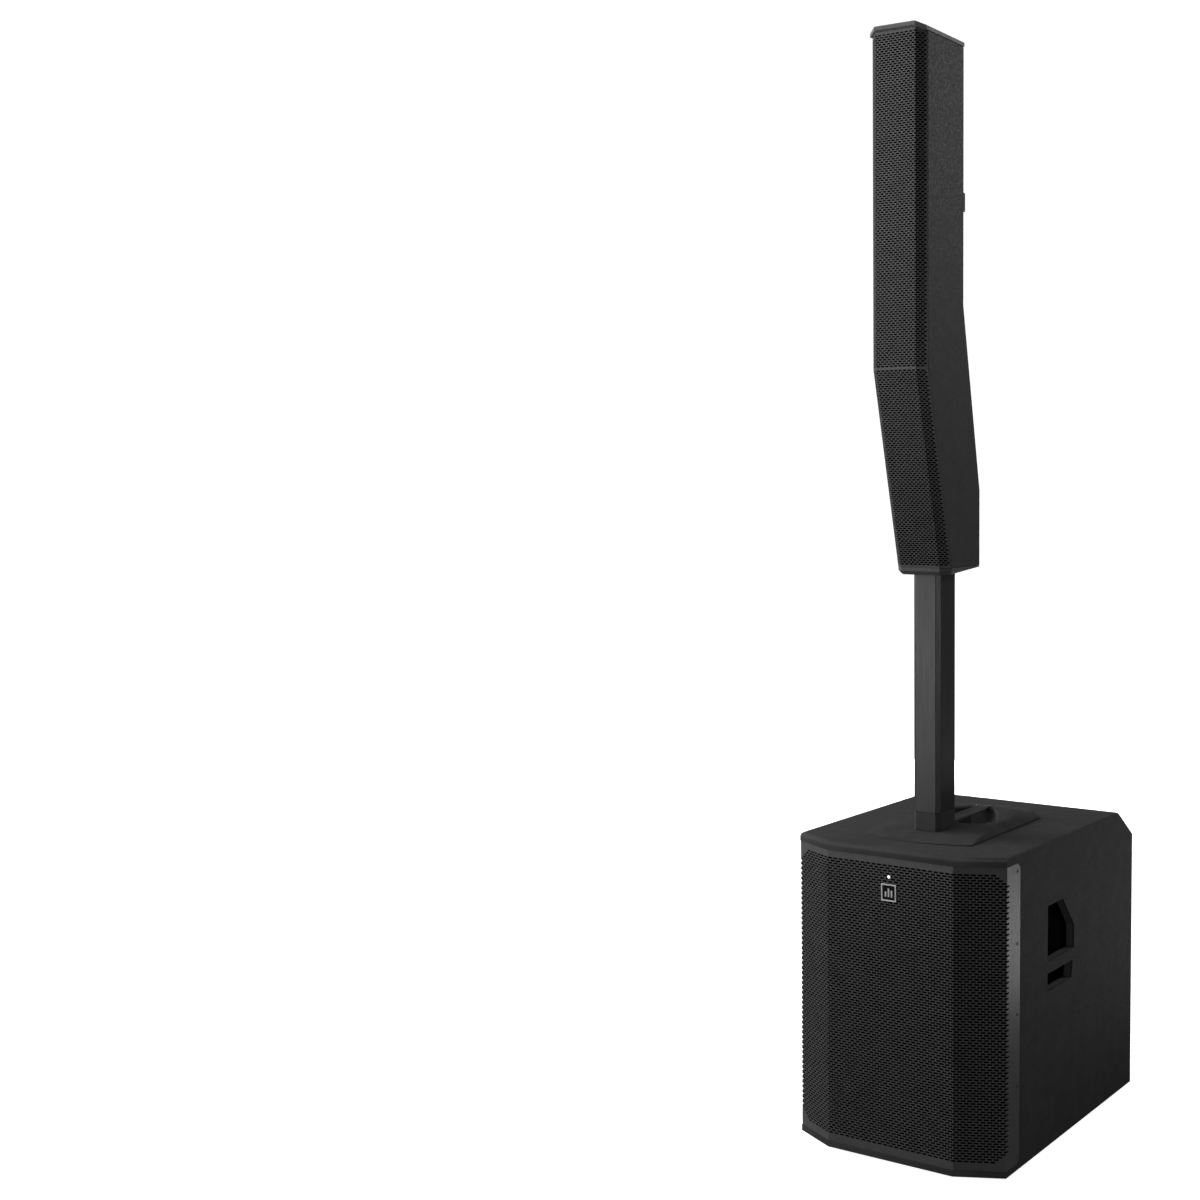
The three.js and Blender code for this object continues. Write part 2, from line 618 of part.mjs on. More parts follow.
const encoderShaft = rodAlongY(3, PANEL_Y + 0.7, PANEL_Y + 9, 12, ENCODER.x, ENCODER.z);
node(bassCabinet, "encoder_shaft", encoderShaft, bareAluminium);
node(bassCabinet, "encoder_knob", knob(ENCODER.x, ENCODER.z, 15, 13, 3.4), mouldedPlastic);
node(bassCabinet, "level_knob_1", knob(JACKS.combo_jack_1, LEVEL_Z, 9, 11), mouldedPlastic);
node(bassCabinet, "level_knob_2", knob(JACKS.combo_jack_2, LEVEL_Z, 9, 11), mouldedPlastic);

// ---------- Pole ----------

const TUBE_FOOT_Z = SEAT_Z + GAP + POLE_FOOT_HEIGHT;
const TUBE_TOP_Z = 1035.5;
const SOCKET_CEILING_Z = TUBE_TOP_Z + SPIGOT_LENGTH + 4; // of the column's socket

// The pole's section, pulled in by inset. Only its front corners are cut off; the rear ones are just eased.
function poleSection(inset = 0) {
  const [halfX, halfY] = [POLE_HALF_WIDTH - inset, POLE_HALF_DEPTH - inset];
  const chamfer = POLE_CHAMFER - inset / 3;
  return mirrored([
    [halfX - chamfer, POLE_Y - halfY],
    [halfX, POLE_Y - halfY + chamfer],
    [halfX, POLE_Y + halfY - POLE_EASING],
    [halfX - POLE_EASING, POLE_Y + halfY],
  ]);
}

function poleTube() {
  const outer = planPrism(poleSection(), TUBE_FOOT_Z + GAP, TUBE_TOP_Z);
  return cut(outer, planPrism(poleSection(POLE_WALL), TUBE_FOOT_Z - 5, TUBE_TOP_Z + 5));
}

function spigot(z0, z1) {
  return planPrism(chamferedRectangle(SPIGOT_HALF, SPIGOT_HALF, 3, POLE_Y), z0, z1);
}

function plug(z0, z1) {
  return planPrism(poleSection(POLE_WALL + 0.4), z0, z1);
}

// The collar's underside follows the pad's ramp.
function poleFoot() {
  const rough = planPrism(poleSection(), CABINET_HEIGHT + 2, TUBE_FOOT_Z);
  const collar = cut(rough, padBody().translate(0, 0, GAP));
  const lower = spigot(SEAT_Z + GAP - SPIGOT_LENGTH, TUBE_FOOT_Z - 10);
  return join(lower, collar, plug(TUBE_FOOT_Z - 2, TUBE_FOOT_Z + 34));
}

function poleHead() {
  return join(plug(TUBE_TOP_Z - 40, TUBE_TOP_Z - 1), spigot(TUBE_TOP_Z - 2, TUBE_TOP_Z + SPIGOT_LENGTH));
}

node(pole, "pole_tube", poleTube(), blackAluminium);
node(pole, "pole_foot", poleFoot(), mouldedPlastic);
node(pole, "pole_head", poleHead(), mouldedPlastic);

// ---------- Column ----------

const CORNER_END_Y = COLUMN_FRONT_Y + COLUMN_CORNER;

// How far back the front has leaned at a height.
const leanAt = (z) => Math.max(0, COLUMN_FOLD_Z - z) * COLUMN_LEAN;

// A plan outline carried up the column, upright above the fold and leaning below it.
function foldedPrism(outline, z0, z1) {
  const lower = planPrism(outline, z0, COLUMN_FOLD_Z);
  const [slide, shift] = [-COLUMN_LEAN, COLUMN_LEAN * COLUMN_FOLD_Z];
  const shear = new THREE.Matrix4().set(1, 0, 0, 0, 0, 1, slide, shift, 0, 0, 1, 0, 0, 0, 0, 1);
  return join(planPrism(outline, COLUMN_FOLD_Z, z1), lower.applyMatrix4(shear));
}

function columnHousing() {
  const [foot, top] = [COLUMN_BODY_FOOT_Z + GAP, COLUMN_BODY_TOP_Z];
  const profile = (wall, over) => [
    [CORNER_END_Y - over, top + over],
    [CORNER_END_Y - over, COLUMN_FOLD_Z],
    [CORNER_END_Y + leanAt(foot - over) - over, foot - over],
    [COLUMN_REAR_FOOT_Y - wall, foot - over],
    [COLUMN_REAR_FOOT_Y - wall, COLUMN_REAR_FOOT_Z],
    [COLUMN_BACK_Y - wall, COLUMN_REAR_BEND_Z],
    [COLUMN_BACK_Y - wall, top + over],
  ];
  const inner = COLUMN_HALF_WIDTH - COLUMN_WALL;
  const body = sidePrism(profile(0, 0), -COLUMN_HALF_WIDTH, COLUMN_HALF_WIDTH);
  return cut(body, sidePrism(profile(COLUMN_WALL, 10), -inner, inner));
}

// The cap overhangs a little all round, and its front edge rises like a visor.
function topCap() {
  const ring = (rise, inset) => {
    const [front, corner, back] = [COLUMN_FRONT_Y - 3 + inset, CORNER_END_Y - 7, COLUMN_BACK_Y + 1 - inset];
    const half = COLUMN_HALF_WIDTH + 1 - inset;
    return [
      [COLUMN_FRONT_HALF_WIDTH + 1 - inset, front, COLUMN_VISOR_Z - 8 + rise],
      [half, corner, COLUMN_BODY_TOP_Z + GAP + rise],
      [half, back, COLUMN_BODY_TOP_Z + GAP + rise],
    ];
  };
  const both = (corners) => [...corners, ...corners.map(([x, y, z]) => [-x, y, z])];
  const height = COLUMN_TOP_Z - COLUMN_BODY_TOP_Z - GAP;
  return hull(both(ring(0, 0)), both(ring(height - 1, 0)), both(ring(height, 1.5)));
}

// A folded sheet across the front and round both cut corners. It stops just short of the top cap.
function columnGrille() {
  const sheet = 1.2;
  const [front, back] = [COLUMN_FRONT_HALF_WIDTH, COLUMN_HALF_WIDTH];
  const outer = [[front, COLUMN_FRONT_Y], [back - GAP, CORNER_END_Y - GAP]];
  const inner = [
    [front - sheet * 0.41, COLUMN_FRONT_Y + sheet],
    [back - GAP - sheet * 1.41, CORNER_END_Y - GAP],
  ];
  const tall = foldedPrism(sheetOutline(outer, inner), COLUMN_BODY_FOOT_Z + GAP, COLUMN_VISOR_Z - 10);
  return cut(tall, topCap().translate(0, 0, -1.2));
}

// Eight drivers in a row: five in the upright part and three in the leaning part.
const BAFFLE_SETBACK = 18;
const BAFFLE_THICK = 7;
const leanAngle = Math.atan(COLUMN_LEAN);
const uprightCentres = Array.from({ length: 5 }, (_, i) => COLUMN_BODY_TOP_Z - 58 - i * DRIVER_PITCH);
const leaningDistances = Array.from({ length: 3 }, (_, i) => 57 + i * DRIVER_PITCH); // down from the fold

function placeDriver(geometry, i) {
  const y = COLUMN_FRONT_Y + BAFFLE_SETBACK;
  if (i < uprightCentres.length) return geometry.translate(0, y, uprightCentres[i]);
  const distance = leaningDistances[i - uprightCentres.length];
  const [back, down] = [distance * Math.sin(leanAngle), distance * Math.cos(leanAngle)];
  return geometry.rotateX(leanAngle).translate(0, y + back, COLUMN_FOLD_Z - down);
}

function columnBaffle() {
  const half = COLUMN_HALF_WIDTH - COLUMN_WALL - GAP;
  const [y0, y1] = [COLUMN_FRONT_Y + BAFFLE_SETBACK, COLUMN_FRONT_Y + BAFFLE_SETBACK + BAFFLE_THICK];
  const outline = [[-half, y0], [half, y0], [half, y1], [-half, y1]];
  const board = foldedPrism(outline, SOCKET_CEILING_Z + 6, COLUMN_BODY_TOP_Z - 3);
  const hole = (_, i) => placeDriver(rodAlongY(DRIVER_RADIUS - 4, -15, 25, 24), i);
  const holes = Array.from({ length: 8 }, hole);
  return cut(board, ...holes);
}

// Flange, basket, magnet and shallow cone of a small full-range driver, facing -Y.
function driver() {
  const rim = DRIVER_RADIUS;
  const profile = [
    [0, 6], [12, 9], [30, 1], [rim - 8, -3.6], [rim - 2, -3.4],
    [rim, -GAP], [rim - 4.6, -GAP], [rim - 7, 8],
    [26, 22], [30, 22], [30, 40], [0, 40],
  ];
  return turnedAlongY(profile, 20);
}

// The foot plate's underside slopes; its socket takes the pole's upper spigot.
function footPlate() {
  const z = COLUMN_BODY_FOOT_Z;
  const front = COLUMN_FRONT_Y + leanAt(z);
  const halfOutline = [
    [COLUMN_FRONT_HALF_WIDTH, front],
    [COLUMN_HALF_WIDTH, front + COLUMN_CORNER],
    [COLUMN_HALF_WIDTH, COLUMN_REAR_FOOT_Y],
  ];
  const rise = (y) => ((y - front) * COLUMN_UNDERSIDE_RISE) / (COLUMN_REAR_FOOT_Y - front);
  const under = (y) => COLUMN_UNDERSIDE_Z + rise(y);
  const inset = ([x, y]) => [x * 0.94, Math.min(y + 4, COLUMN_REAR_FOOT_Y - 1)];
  const plan = mirrored(halfOutline);
  const plate = hull(
    plan.map(([x, y]) => [x, y, z]),
    plan.map(([x, y]) => [x, y, Math.min(under(y) + 7, z - 1.5)]),
    plan.map(inset).map(([x, y]) => [x, y, under(y)]),
  );
  const half = SPIGOT_HALF + SPIGOT_CLEARANCE;
  const wall = half + 6;
  const socket = block(-wall, wall, POLE_Y - wall, POLE_Y + wall, z - 2, SOCKET_CEILING_Z + 4);
  const well = block(-half, half, POLE_Y - half, POLE_Y + half, COLUMN_UNDERSIDE_Z - 20, SOCKET_CEILING_Z);
  return cut(join(plate, socket), well);
}

// A bridge across the back, gripped with the palm up to lift the column onto its pole.
const GRIP_RISE = 33;
const GRIP_THICK = 8;
function liftingHandle() {
  const y = COLUMN_BACK_Y + GAP;
  const [outer, inner, top] = [y + GRIP_RISE, y + GRIP_RISE - GRIP_THICK, 38];
  const bridge = [
    [50, y], [50, y + 5], [47, y + 14], [top + 3, outer - 2], [top, outer],
    [-top, outer], [-top - 3, outer - 2], [-47, y + 14], [-50, y + 5], [-50, y],
    [-39, y], [5 - top, inner], [top - 5, inner], [39, y],
  ];
  const arch = planPrism(bridge, HANDLE_Z - 16, HANDLE_Z + 16);
  const shoes = [-50, 39].map((x) => block(x, x + 11, y, y + 4.5, HANDLE_Z - 26, HANDLE_Z + 26));
  return join(arch, ...shoes);
}

function crossoverBoard() {
  const board = block(-40, 40, 150, 152, 1250, 1370);
  const coils = [-20, 18].map((x) => rodAlongY(13, 134, 151, 16, x, 1330));
  return join(board, ...coils, block(-25, 25, 138, 151, 1265, 1290));
}

node(column, "column_housing", columnHousing(), mouldedPlastic);
node(column, "column_top_cap", topCap(), mouldedPlastic);
node(column, "column_foot_plate", footPlate(), mouldedPlastic);
node(column, "column_grille", columnGrille(), blackSteel);
node(column, "column_baffle", columnBaffle(), mouldedPlastic);
node(column, "lifting_handle", liftingHandle(), mouldedPlastic);
node(column, "crossover_board", crossoverBoard(), greenBoard);
for (let i = 0; i < 8; i++) node(column, `column_driver_${i + 1}`, placeDriver(driver(), i), paper);

// ---------- The whole system ----------

const system = new THREE.Group();
for (const group of [bassCabinet, pole, column]) {
  group.position.set(0, -CABINET_DEPTH / 2, FOOT_HEIGHT);
  system.add(group);
}

export default system;
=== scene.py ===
"""The looks of a column PA system: a bass cabinet, a pole and a loudspeaker column on a pale floor."""

import math

import bmesh
import bpy
from mathutils import Matrix, Vector


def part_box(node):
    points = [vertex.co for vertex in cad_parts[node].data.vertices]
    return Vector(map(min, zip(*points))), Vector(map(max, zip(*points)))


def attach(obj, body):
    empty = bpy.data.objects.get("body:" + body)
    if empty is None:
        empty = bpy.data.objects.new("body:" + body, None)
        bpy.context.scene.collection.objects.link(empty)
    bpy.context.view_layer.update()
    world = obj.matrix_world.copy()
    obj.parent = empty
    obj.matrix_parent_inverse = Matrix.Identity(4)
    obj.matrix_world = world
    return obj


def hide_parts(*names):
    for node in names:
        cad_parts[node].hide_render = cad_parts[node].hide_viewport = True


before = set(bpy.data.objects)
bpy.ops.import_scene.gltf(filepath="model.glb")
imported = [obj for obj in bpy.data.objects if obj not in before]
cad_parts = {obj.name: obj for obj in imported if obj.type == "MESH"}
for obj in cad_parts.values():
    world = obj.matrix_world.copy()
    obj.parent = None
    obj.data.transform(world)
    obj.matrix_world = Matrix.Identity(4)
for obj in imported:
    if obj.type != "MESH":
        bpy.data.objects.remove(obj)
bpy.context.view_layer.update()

# ---------- Frame and driving dimensions ----------

# Shapes are given in millimetres: x to the right, y back from the cabinet's front, z up from its underside.
MM = 0.001
cabinet_low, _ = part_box("bottom_board")
ORIGIN = Vector((0, cabinet_low.y, cabinet_low.z))
TO_METRES = Matrix.Translation(ORIGIN) @ Matrix.Scale(MM, 4)
TO_MM = TO_METRES.inverted()


def node_box(node):
    """A CAD node's lowest and highest corner in millimetres."""
    low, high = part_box(node)
    return TO_MM @ low, TO_MM @ high


def node_middle(node):
    """The middle of a CAD node's box in millimetres."""
    low, high = node_box(node)
    return (low + high) / 2


# The cabinet: a box whose front corners are cut by facets, and whose top slopes down at the rear.
_, board_high = node_box("top_board")
HALF_WIDTH = board_high.x
TOP_Z = board_high.z
BACK_Y = node_box("back_board")[1].y
PLY = 15
FACET_HALF_WIDTH = 130
FACET_SETBACK = 38
SLOPE_TOP_Y = 494
SLOPE_FOOT_Z = 504
PAD_TOP_Z = node_box("pole_mount_plate")[1].z

# The bass grille, whose flanges run back along the cabinet's sides and have cut corners.
grille_low, grille_high = node_box("bass_grille")
FLANGE_Y = grille_high.y
FLANGE_CORNER = 9

# The column, which leans back towards its foot below a fold in its front.
column_low, column_high = node_box("column_grille")
COLUMN_HALF_WIDTH = column_high.x
COLUMN_FRONT_Y = column_low.y
COLUMN_FRONT_HALF_WIDTH = 40
COLUMN_FOLD_Z = 1396
COLUMN_LEAN = 0.233

# ---------- Camera, floor and light ----------

CAMERA_PLACE = Vector((1.50393, -2.65542, 1.21465))
CAMERA_AZIMUTH = math.radians(29.39)
CAMERA_ELEVATION = math.radians(4.11)
CAMERA_ROLL = math.radians(0.10)
SENSOR = 36
FOCAL_LENGTH = 48.84
FRAMING_SHIFT = (-0.3102, -0.0027)


def add_camera():
    """The camera, turned by its azimuth about the vertical, then by its elevation and its roll."""
    data = bpy.data.cameras.new("camera")
    data.sensor_width = SENSOR
    data.lens = FOCAL_LENGTH
    data.shift_x, data.shift_y = FRAMING_SHIFT
    camera = bpy.data.objects.new("camera", data)
    bpy.context.scene.collection.objects.link(camera)
    a, e = CAMERA_AZIMUTH, CAMERA_ELEVATION
    back = Vector((math.sin(a) * math.cos(e), -math.cos(a) * math.cos(e), math.sin(e)))
    level = (-back).cross(Vector((0, 0, 1))).normalized()
    upright = back.cross(level)
    right = level * math.cos(CAMERA_ROLL) + upright * math.sin(CAMERA_ROLL)
    up = back.cross(right)
    turn = Matrix((right, up, back)).transposed().to_4x4()
    camera.matrix_world = Matrix.Translation(CAMERA_PLACE) @ turn
    bpy.context.scene.camera = camera


FLOOR_RADIUS = 7.0
SWEEP_RADIUS = 3.0
SWEEP_STEPS = 12
WALL_TOP = 8.0
FLOOR_SIDES = 96
FLOOR_GLOW = 0.95


def add_floor():
    """A round floor whose rim sweeps up, so that no view shows an edge."""
    profile = [(FLOOR_RADIUS, 0.0)]
    for i in range(1, SWEEP_STEPS + 1):
        turn = math.radians(90) * i / SWEEP_STEPS
        profile.append((FLOOR_RADIUS + SWEEP_RADIUS * math.sin(turn), SWEEP_RADIUS * (1 - math.cos(turn))))
    profile.append((FLOOR_RADIUS + SWEEP_RADIUS, WALL_TOP))
    bm = bmesh.new()
    angles = [2 * math.pi * i / FLOOR_SIDES for i in range(FLOOR_SIDES)]
    rings = []
    for radius, z in profile:
        rings.append([bm.verts.new((radius * math.cos(a), radius * math.sin(a), z)) for a in angles])
    bm.faces.new(rings[0])
    for low, high in zip(rings, rings[1:]):
        for i in range(FLOOR_SIDES):
            j = (i + 1) % FLOOR_SIDES
            bm.faces.new((low[i], low[j], high[j], high[i])).smooth = True
    mesh = bpy.data.meshes.new("studio_floor")
    bm.to_mesh(mesh)
    bm.free()
    floor = bpy.data.objects.new("studio_floor", mesh)
    bpy.context.scene.collection.objects.link(floor)
    pale = bpy.data.materials.new("pale_floor")
    pale.use_nodes = True
    shader = pale.node_tree.nodes["Principled BSDF"]
    shader.inputs["Base Color"].default_value = (0.8, 0.8, 0.8, 1)
    shader.inputs["Roughness"].default_value = 0.9
    shader.inputs["Specular IOR Level"].default_value = 0.1
    shader.inputs["Emission Color"].default_value = (1, 1, 1, 1)
    shader.inputs["Emission Strength"].default_value = FLOOR_GLOW
    mesh.materials.append(pale)
    floor.visible_diffuse = False
    floor.visible_glossy = False


# The place, the target, the width and height in metres, and the power in watts of each soft box.
SOFTBOXES = {
    "key_light": ((-3.5, -1.1, 2.1), (0, 0, 1.0), 1.8, 2.8, 170),
    "front_light": ((-1.7, -3.0, 0.6), (0, 0, 0.8), 1.6, 1.1, 14),
    "upper_light": ((-1.7, -3.0, 2.5), (0, 0, 1.2), 1.6, 1.5, 20),
    "right_light": ((3.0, -2.0, 1.0), (0, 0, 0.9), 1.4, 1.4, 11),
    "top_light": ((-0.6, -0.4, 4.2), (0, 0, 0.6), 2.0, 2.0, 44),
    "back_light": ((2.3, 3.4, 3.0), (0, 0, 1.4), 1.4, 1.4, 55),
    "floor_light": ((1.02, 1.24, 0.02), (1.02, 1.25, 1.0), 1.2, 1.2, 9),
    "rear_light": ((-1.6, 3.6, 0.3), (0, 0, 0.3), 1.8, 0.5, 40),
}
WORLD_STRENGTH = 0.09


def add_softbox(name, place, target, width, height, power):
    """A rectangular lamp that faces its target and isn't seen itself."""
    light = bpy.data.lights.new(name, "AREA")
    light.shape = "RECTANGLE"
    light.size, light.size_y = width, height
    light.energy = power
    holder = bpy.data.objects.new(name, light)
    holder.location = place
    holder.rotation_mode = "QUATERNION"
    holder.rotation_quaternion = (Vector(target) - Vector(place)).to_track_quat("-Z", "Y")
    holder.visible_camera = False
    bpy.context.scene.collection.objects.link(holder)


def add_studio():
    """A dim white surround and the soft boxes."""
    world = bpy.data.worlds.new("studio")
    world.use_nodes = True
    background = world.node_tree.nodes["Background"]
    background.inputs["Color"].default_value = (1, 1, 1, 1)
    background.inputs["Strength"].default_value = WORLD_STRENGTH
    bpy.context.scene.world = world
    bpy.context.scene.view_settings.view_transform = "Standard"
    for name, settings in SOFTBOXES.items():
        add_softbox(name, *settings)


add_camera()
add_floor()
add_studio()

# ---------- Materials ----------


def shade(colour, factor):
    """A colour made lighter or darker, with full opacity."""
    return tuple(min(1.0, c * factor) for c in colour) + (1,)


def surface(
    slot, colour, roughness, metallic=0.0, mottle=0.12, mottle_scale=35, spread=0.08,
    grain=(1400, 0.05), cells=None, stretch=(1, 1, 1), specular=0.5,
):
    """A finish with slow changes of tone, uneven gloss and a fine relief.

    grain is the relief's (features per metre, height in millimetres), and cells adds a leathery relief in
    the same terms. stretch squeezes the noise along x, y and z, as brushing does."""
    made = bpy.data.materials.new(slot)
    made.use_nodes = True
    nodes, links = made.node_tree.nodes, made.node_tree.links
    shader = nodes["Principled BSDF"]
    shader.inputs["Metallic"].default_value = metallic
    shader.inputs["Specular IOR Level"].default_value = specular
    mapping = nodes.new("ShaderNodeMapping")
    mapping.inputs["Scale"].default_value = stretch
    links.new(nodes.new("ShaderNodeTexCoord").outputs["Object"], mapping.inputs["Vector"])

    def noise(scale, detail):
        texture = nodes.new("ShaderNodeTexNoise")
        texture.inputs["Scale"].default_value = scale
        texture.inputs["Detail"].default_value = detail
        links.new(mapping.outputs["Vector"], texture.inputs["Vector"])
        return texture.outputs["Fac"]

    ramp = nodes.new("ShaderNodeValToRGB")
    ramp.color_ramp.elements[0].position = 0.3
    ramp.color_ramp.elements[1].position = 0.7
    ramp.color_ramp.elements[0].color = shade(colour, 1 - mottle)
    ramp.color_ramp.elements[1].color = shade(colour, 1 + mottle)
    links.new(noise(mottle_scale, 6), ramp.inputs["Fac"])
    links.new(ramp.outputs["Color"], shader.inputs["Base Color"])

    gloss = nodes.new("ShaderNodeMapRange")
    gloss.inputs["From Min"].default_value = 0.3
    gloss.inputs["From Max"].default_value = 0.7
    gloss.inputs["To Min"].default_value = roughness - spread
    gloss.inputs["To Max"].default_value = min(1.0, roughness + spread)
    links.new(noise(mottle_scale * 6, 4), gloss.inputs["Value"])
    links.new(gloss.outputs["Result"], shader.inputs["Roughness"])

    relief = nodes.new("ShaderNodeBump")
    relief.inputs["Distance"].default_value = grain[1] * MM
    links.new(noise(grain[0], 3), relief.inputs["Height"])
    if cells:
        pattern = nodes.new("ShaderNodeTexVoronoi")
        pattern.inputs["Scale"].default_value = cells[0]
        links.new(mapping.outputs["Vector"], pattern.inputs["Vector"])
        leather = nodes.new("ShaderNodeBump")
        leather.inputs["Distance"].default_value = cells[1] * MM
        links.new(pattern.outputs["Distance"], leather.inputs["Height"])
        links.new(leather.outputs["Normal"], relief.inputs["Normal"])
    links.new(relief.outputs["Normal"], shader.inputs["Normal"])
    return made


def glowing(slot, colour, strength):
    """A smooth lens that is lit from inside."""
    made = surface(slot, colour, 0.35, mottle=0.03, grain=(900, 0.01))
    shader = made.node_tree.nodes["Principled BSDF"]
    shader.inputs["Emission Color"].default_value = shade(colour, 1)
    shader.inputs["Emission Strength"].default_value = strength
    return made


# The record's material slots, and finishes of single pieces whose tone differs from their slot's.
FINISHES = {
    "coated_plywood": dict(colour=(0.038, 0.038, 0.0385), roughness=0.72, cells=(900, 0.10), specular=0.12),
    "bare_plywood": dict(
        colour=(0.36, 0.24, 0.14), roughness=0.8, mottle=0.3, mottle_scale=60, stretch=(0.15, 1, 1)),
    "black_steel": dict(colour=(0.064, 0.064, 0.0645), roughness=0.36, grain=(2200, 0.03), specular=0.4),
    "black_aluminium": dict(
        colour=(0.016, 0.016, 0.0165), roughness=0.32, mottle=0.06, spread=0.04, stretch=(1, 1, 0.05)),
    "bare_aluminium": dict(
        colour=(0.6, 0.6, 0.61), roughness=0.35, metallic=1.0, mottle=0.08, stretch=(0.05, 1, 1)),
    "moulded_plastic": dict(
        colour=(0.032, 0.032, 0.0325), roughness=0.62, cells=(1300, 0.06), specular=0.2),
    # The handle cups' plastic is darkened below its own tone: painted shade for their deep hollows.
    "cup_plastic_painted_shade": dict(colour=(0.013, 0.013, 0.013), roughness=0.8, cells=(1300, 0.06), specular=0.1),
    "cap_plastic": dict(colour=(0.13, 0.13, 0.131), roughness=0.55, cells=(1300, 0.05), specular=0.3),
    "foot_plastic": dict(colour=(0.060, 0.060, 0.061), roughness=0.55, cells=(1300, 0.05), specular=0.3),
    "pad_plastic": dict(colour=(0.044, 0.044, 0.0445), roughness=0.9, cells=(1300, 0.06), specular=0.02),
    # The window liners are the cups' plastic made lighter: painted light on the walls of the windows.
    "liner_plastic_painted_light": dict(colour=(0.085, 0.085, 0.0855), roughness=0.65, cells=(1300, 0.05), specular=0.2),
    "contact_plastic": dict(colour=(0.06, 0.055, 0.04), roughness=0.45, grain=(1200, 0.02)),
    "black_rubber": dict(colour=(0.018, 0.018, 0.018), roughness=0.85, grain=(1800, 0.08)),
    "foam": dict(colour=(0.0025, 0.0025, 0.0025), roughness=1.0, grain=(900, 0.4), specular=0.0),
    "cone_paper": dict(
        colour=(0.020, 0.020, 0.020), roughness=0.85, grain=(700, 0.10), stretch=(1, 1, 0.3)),
    "ferrite": dict(colour=(0.05, 0.05, 0.052), roughness=0.6, grain=(500, 0.05)),
    "badge_metal": dict(
        colour=(0.55, 0.55, 0.56), roughness=0.42, metallic=0.8, mottle=0.05, grain=(900, 0.004)),
    "dark_glass": dict(
        colour=(0.006, 0.007, 0.009), roughness=0.08, mottle=0.2, spread=0.02, grain=(40, 0.005)),
    "white_ink": dict(colour=(0.42, 0.42, 0.42), roughness=0.7, mottle=0.05),
    "label_foil": dict(
        colour=(0.22, 0.22, 0.225), roughness=0.45, metallic=0.6, mottle=0.05, grain=(900, 0.005)),
    "circuit_board": dict(colour=(0.012, 0.07, 0.03), roughness=0.45, mottle=0.4, cells=(300, 0.1)),
}
LOOKS = {slot: surface(slot, **finish) for slot, finish in FINISHES.items()}
LOOKS["lit_white"] = glowing("lit_white", (0.9, 0.93, 1.0), 1.4)
LOOKS["signal_green"] = glowing("signal_green", (0.08, 0.75, 0.2), 1.2)

# ---------- Mesh helpers ----------


def loft(bm, rings, cap_start=True, cap_end=True):
    """Joins successive closed rings of points with quads, and closes the ends."""
    made = [[bm.verts.new(point) for point in ring] for ring in rings]
    count = len(made[0])
    for low, high in zip(made, made[1:]):
        for i in range(count):
            j = (i + 1) % count
            bm.faces.new((low[i], low[j], high[j], high[i]))
    if cap_start:
        bm.faces.new(made[0][::-1])
    if cap_end:
        bm.faces.new(made[-1])


def turned(bm, profile, place, toward=(0, 1, 0), segments=40, closed=False):
    """Turns a profile of (radius, height) points about an axis that starts at place and points toward."""
    turn = Vector((0, 0, 1)).rotation_difference(Vector(toward)).to_matrix()
    rings = []
    for radius, height in profile:
        count = segments if radius > 1e-6 else 1
        angles = [2 * math.pi * i / segments for i in range(count)]
        points = [Vector((radius * math.cos(a), radius * math.sin(a), height)) for a in angles]
        rings.append([bm.verts.new(Vector(place) + turn @ point) for point in points])
    pairs = list(zip(rings, rings[1:]))
    if closed:
        pairs.append((rings[-1], rings[0]))
    for low, high in pairs:
        for i in range(segments):
            j = (i + 1) % segments
            corners = [low[i % len(low)], low[j % len(low)], high[j % len(high)], high[i % len(high)]]
            distinct = list(dict.fromkeys(corners))
            if len(distinct) > 2:
                bm.faces.new(distinct)
    if not closed:
        for ring in (rings[0], rings[-1]):
            if len(ring) > 1:
                bm.faces.new(ring)
    bmesh.ops.recalc_face_normals(bm, faces=bm.faces)


def prism(bm, outline, start, end, along="x"):
    """Carries an outline from start to end along an axis. Its points give the other two, in their order."""
    def point(u, v, w):
        return {"x": (w, u, v), "y": (u, w, v), "z": (u, v, w)}[along]

    loft(bm, [[point(u, v, w) for u, v in outline] for w in (start, end)])
    bmesh.ops.recalc_face_normals(bm, faces=bm.faces)


def box(bm, x0, x1, y0, y1, z0, z1):
    """An upright block between two x, two y and two z."""
    prism(bm, [(x0, y0), (x1, y0), (x1, y1), (x0, y1)], z0, z1, "z")


def screw(bm, place, toward, radius, height):
    """A button-head screw with a hexagon socket."""
    count = 24
    turn = Vector((0, 0, 1)).rotation_difference(Vector(toward)).to_matrix()

    def ring(size, level, hexagon=False):
        points = []
        for i in range(count):
            angle = 2 * math.pi * i / count
            reach = size
            if hexagon:
                reach *= math.cos(math.pi / 6) / math.cos((angle % (math.pi / 3)) - math.pi / 6)
            flat = Vector((reach * math.cos(angle), reach * math.sin(angle), level))
            points.append(Vector(place) + turn @ flat)
        return points

    loft(bm, [
        ring(radius, 0),
        ring(radius, height * 0.35),
        ring(radius * 0.9, height * 0.75),
        ring(radius * 0.7, height),
        ring(radius * 0.52, height, True),
        ring(radius * 0.5, height - radius * 0.45, True),
    ])


def cad_mesh(node):
    """A CAD node's mesh in millimetres, with its triangles merged into flat faces."""
    bm = bmesh.new()
    bm.from_mesh(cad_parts[node].data)
    bmesh.ops.transform(bm, matrix=TO_MM, verts=bm.verts)
    clean(bm)
    return bm


def clean(bm):
    """Merges doubled points and flat neighbours, and turns the faces outwards."""
    bmesh.ops.remove_doubles(bm, verts=bm.verts, dist=0.005)
    bmesh.ops.dissolve_limit(
        bm, angle_limit=math.radians(0.4), verts=bm.verts, edges=bm.edges, use_dissolve_boundaries=False)
    bmesh.ops.recalc_face_normals(bm, faces=bm.faces)


def holder_of(bm):
    """A scratch object that holds bm, which is used up."""
    mesh = bpy.data.meshes.new("scratch")
    bm.to_mesh(mesh)
    bm.free()
    holder = bpy.data.objects.new("scratch", mesh)
    bpy.context.scene.collection.objects.link(holder)
    return holder


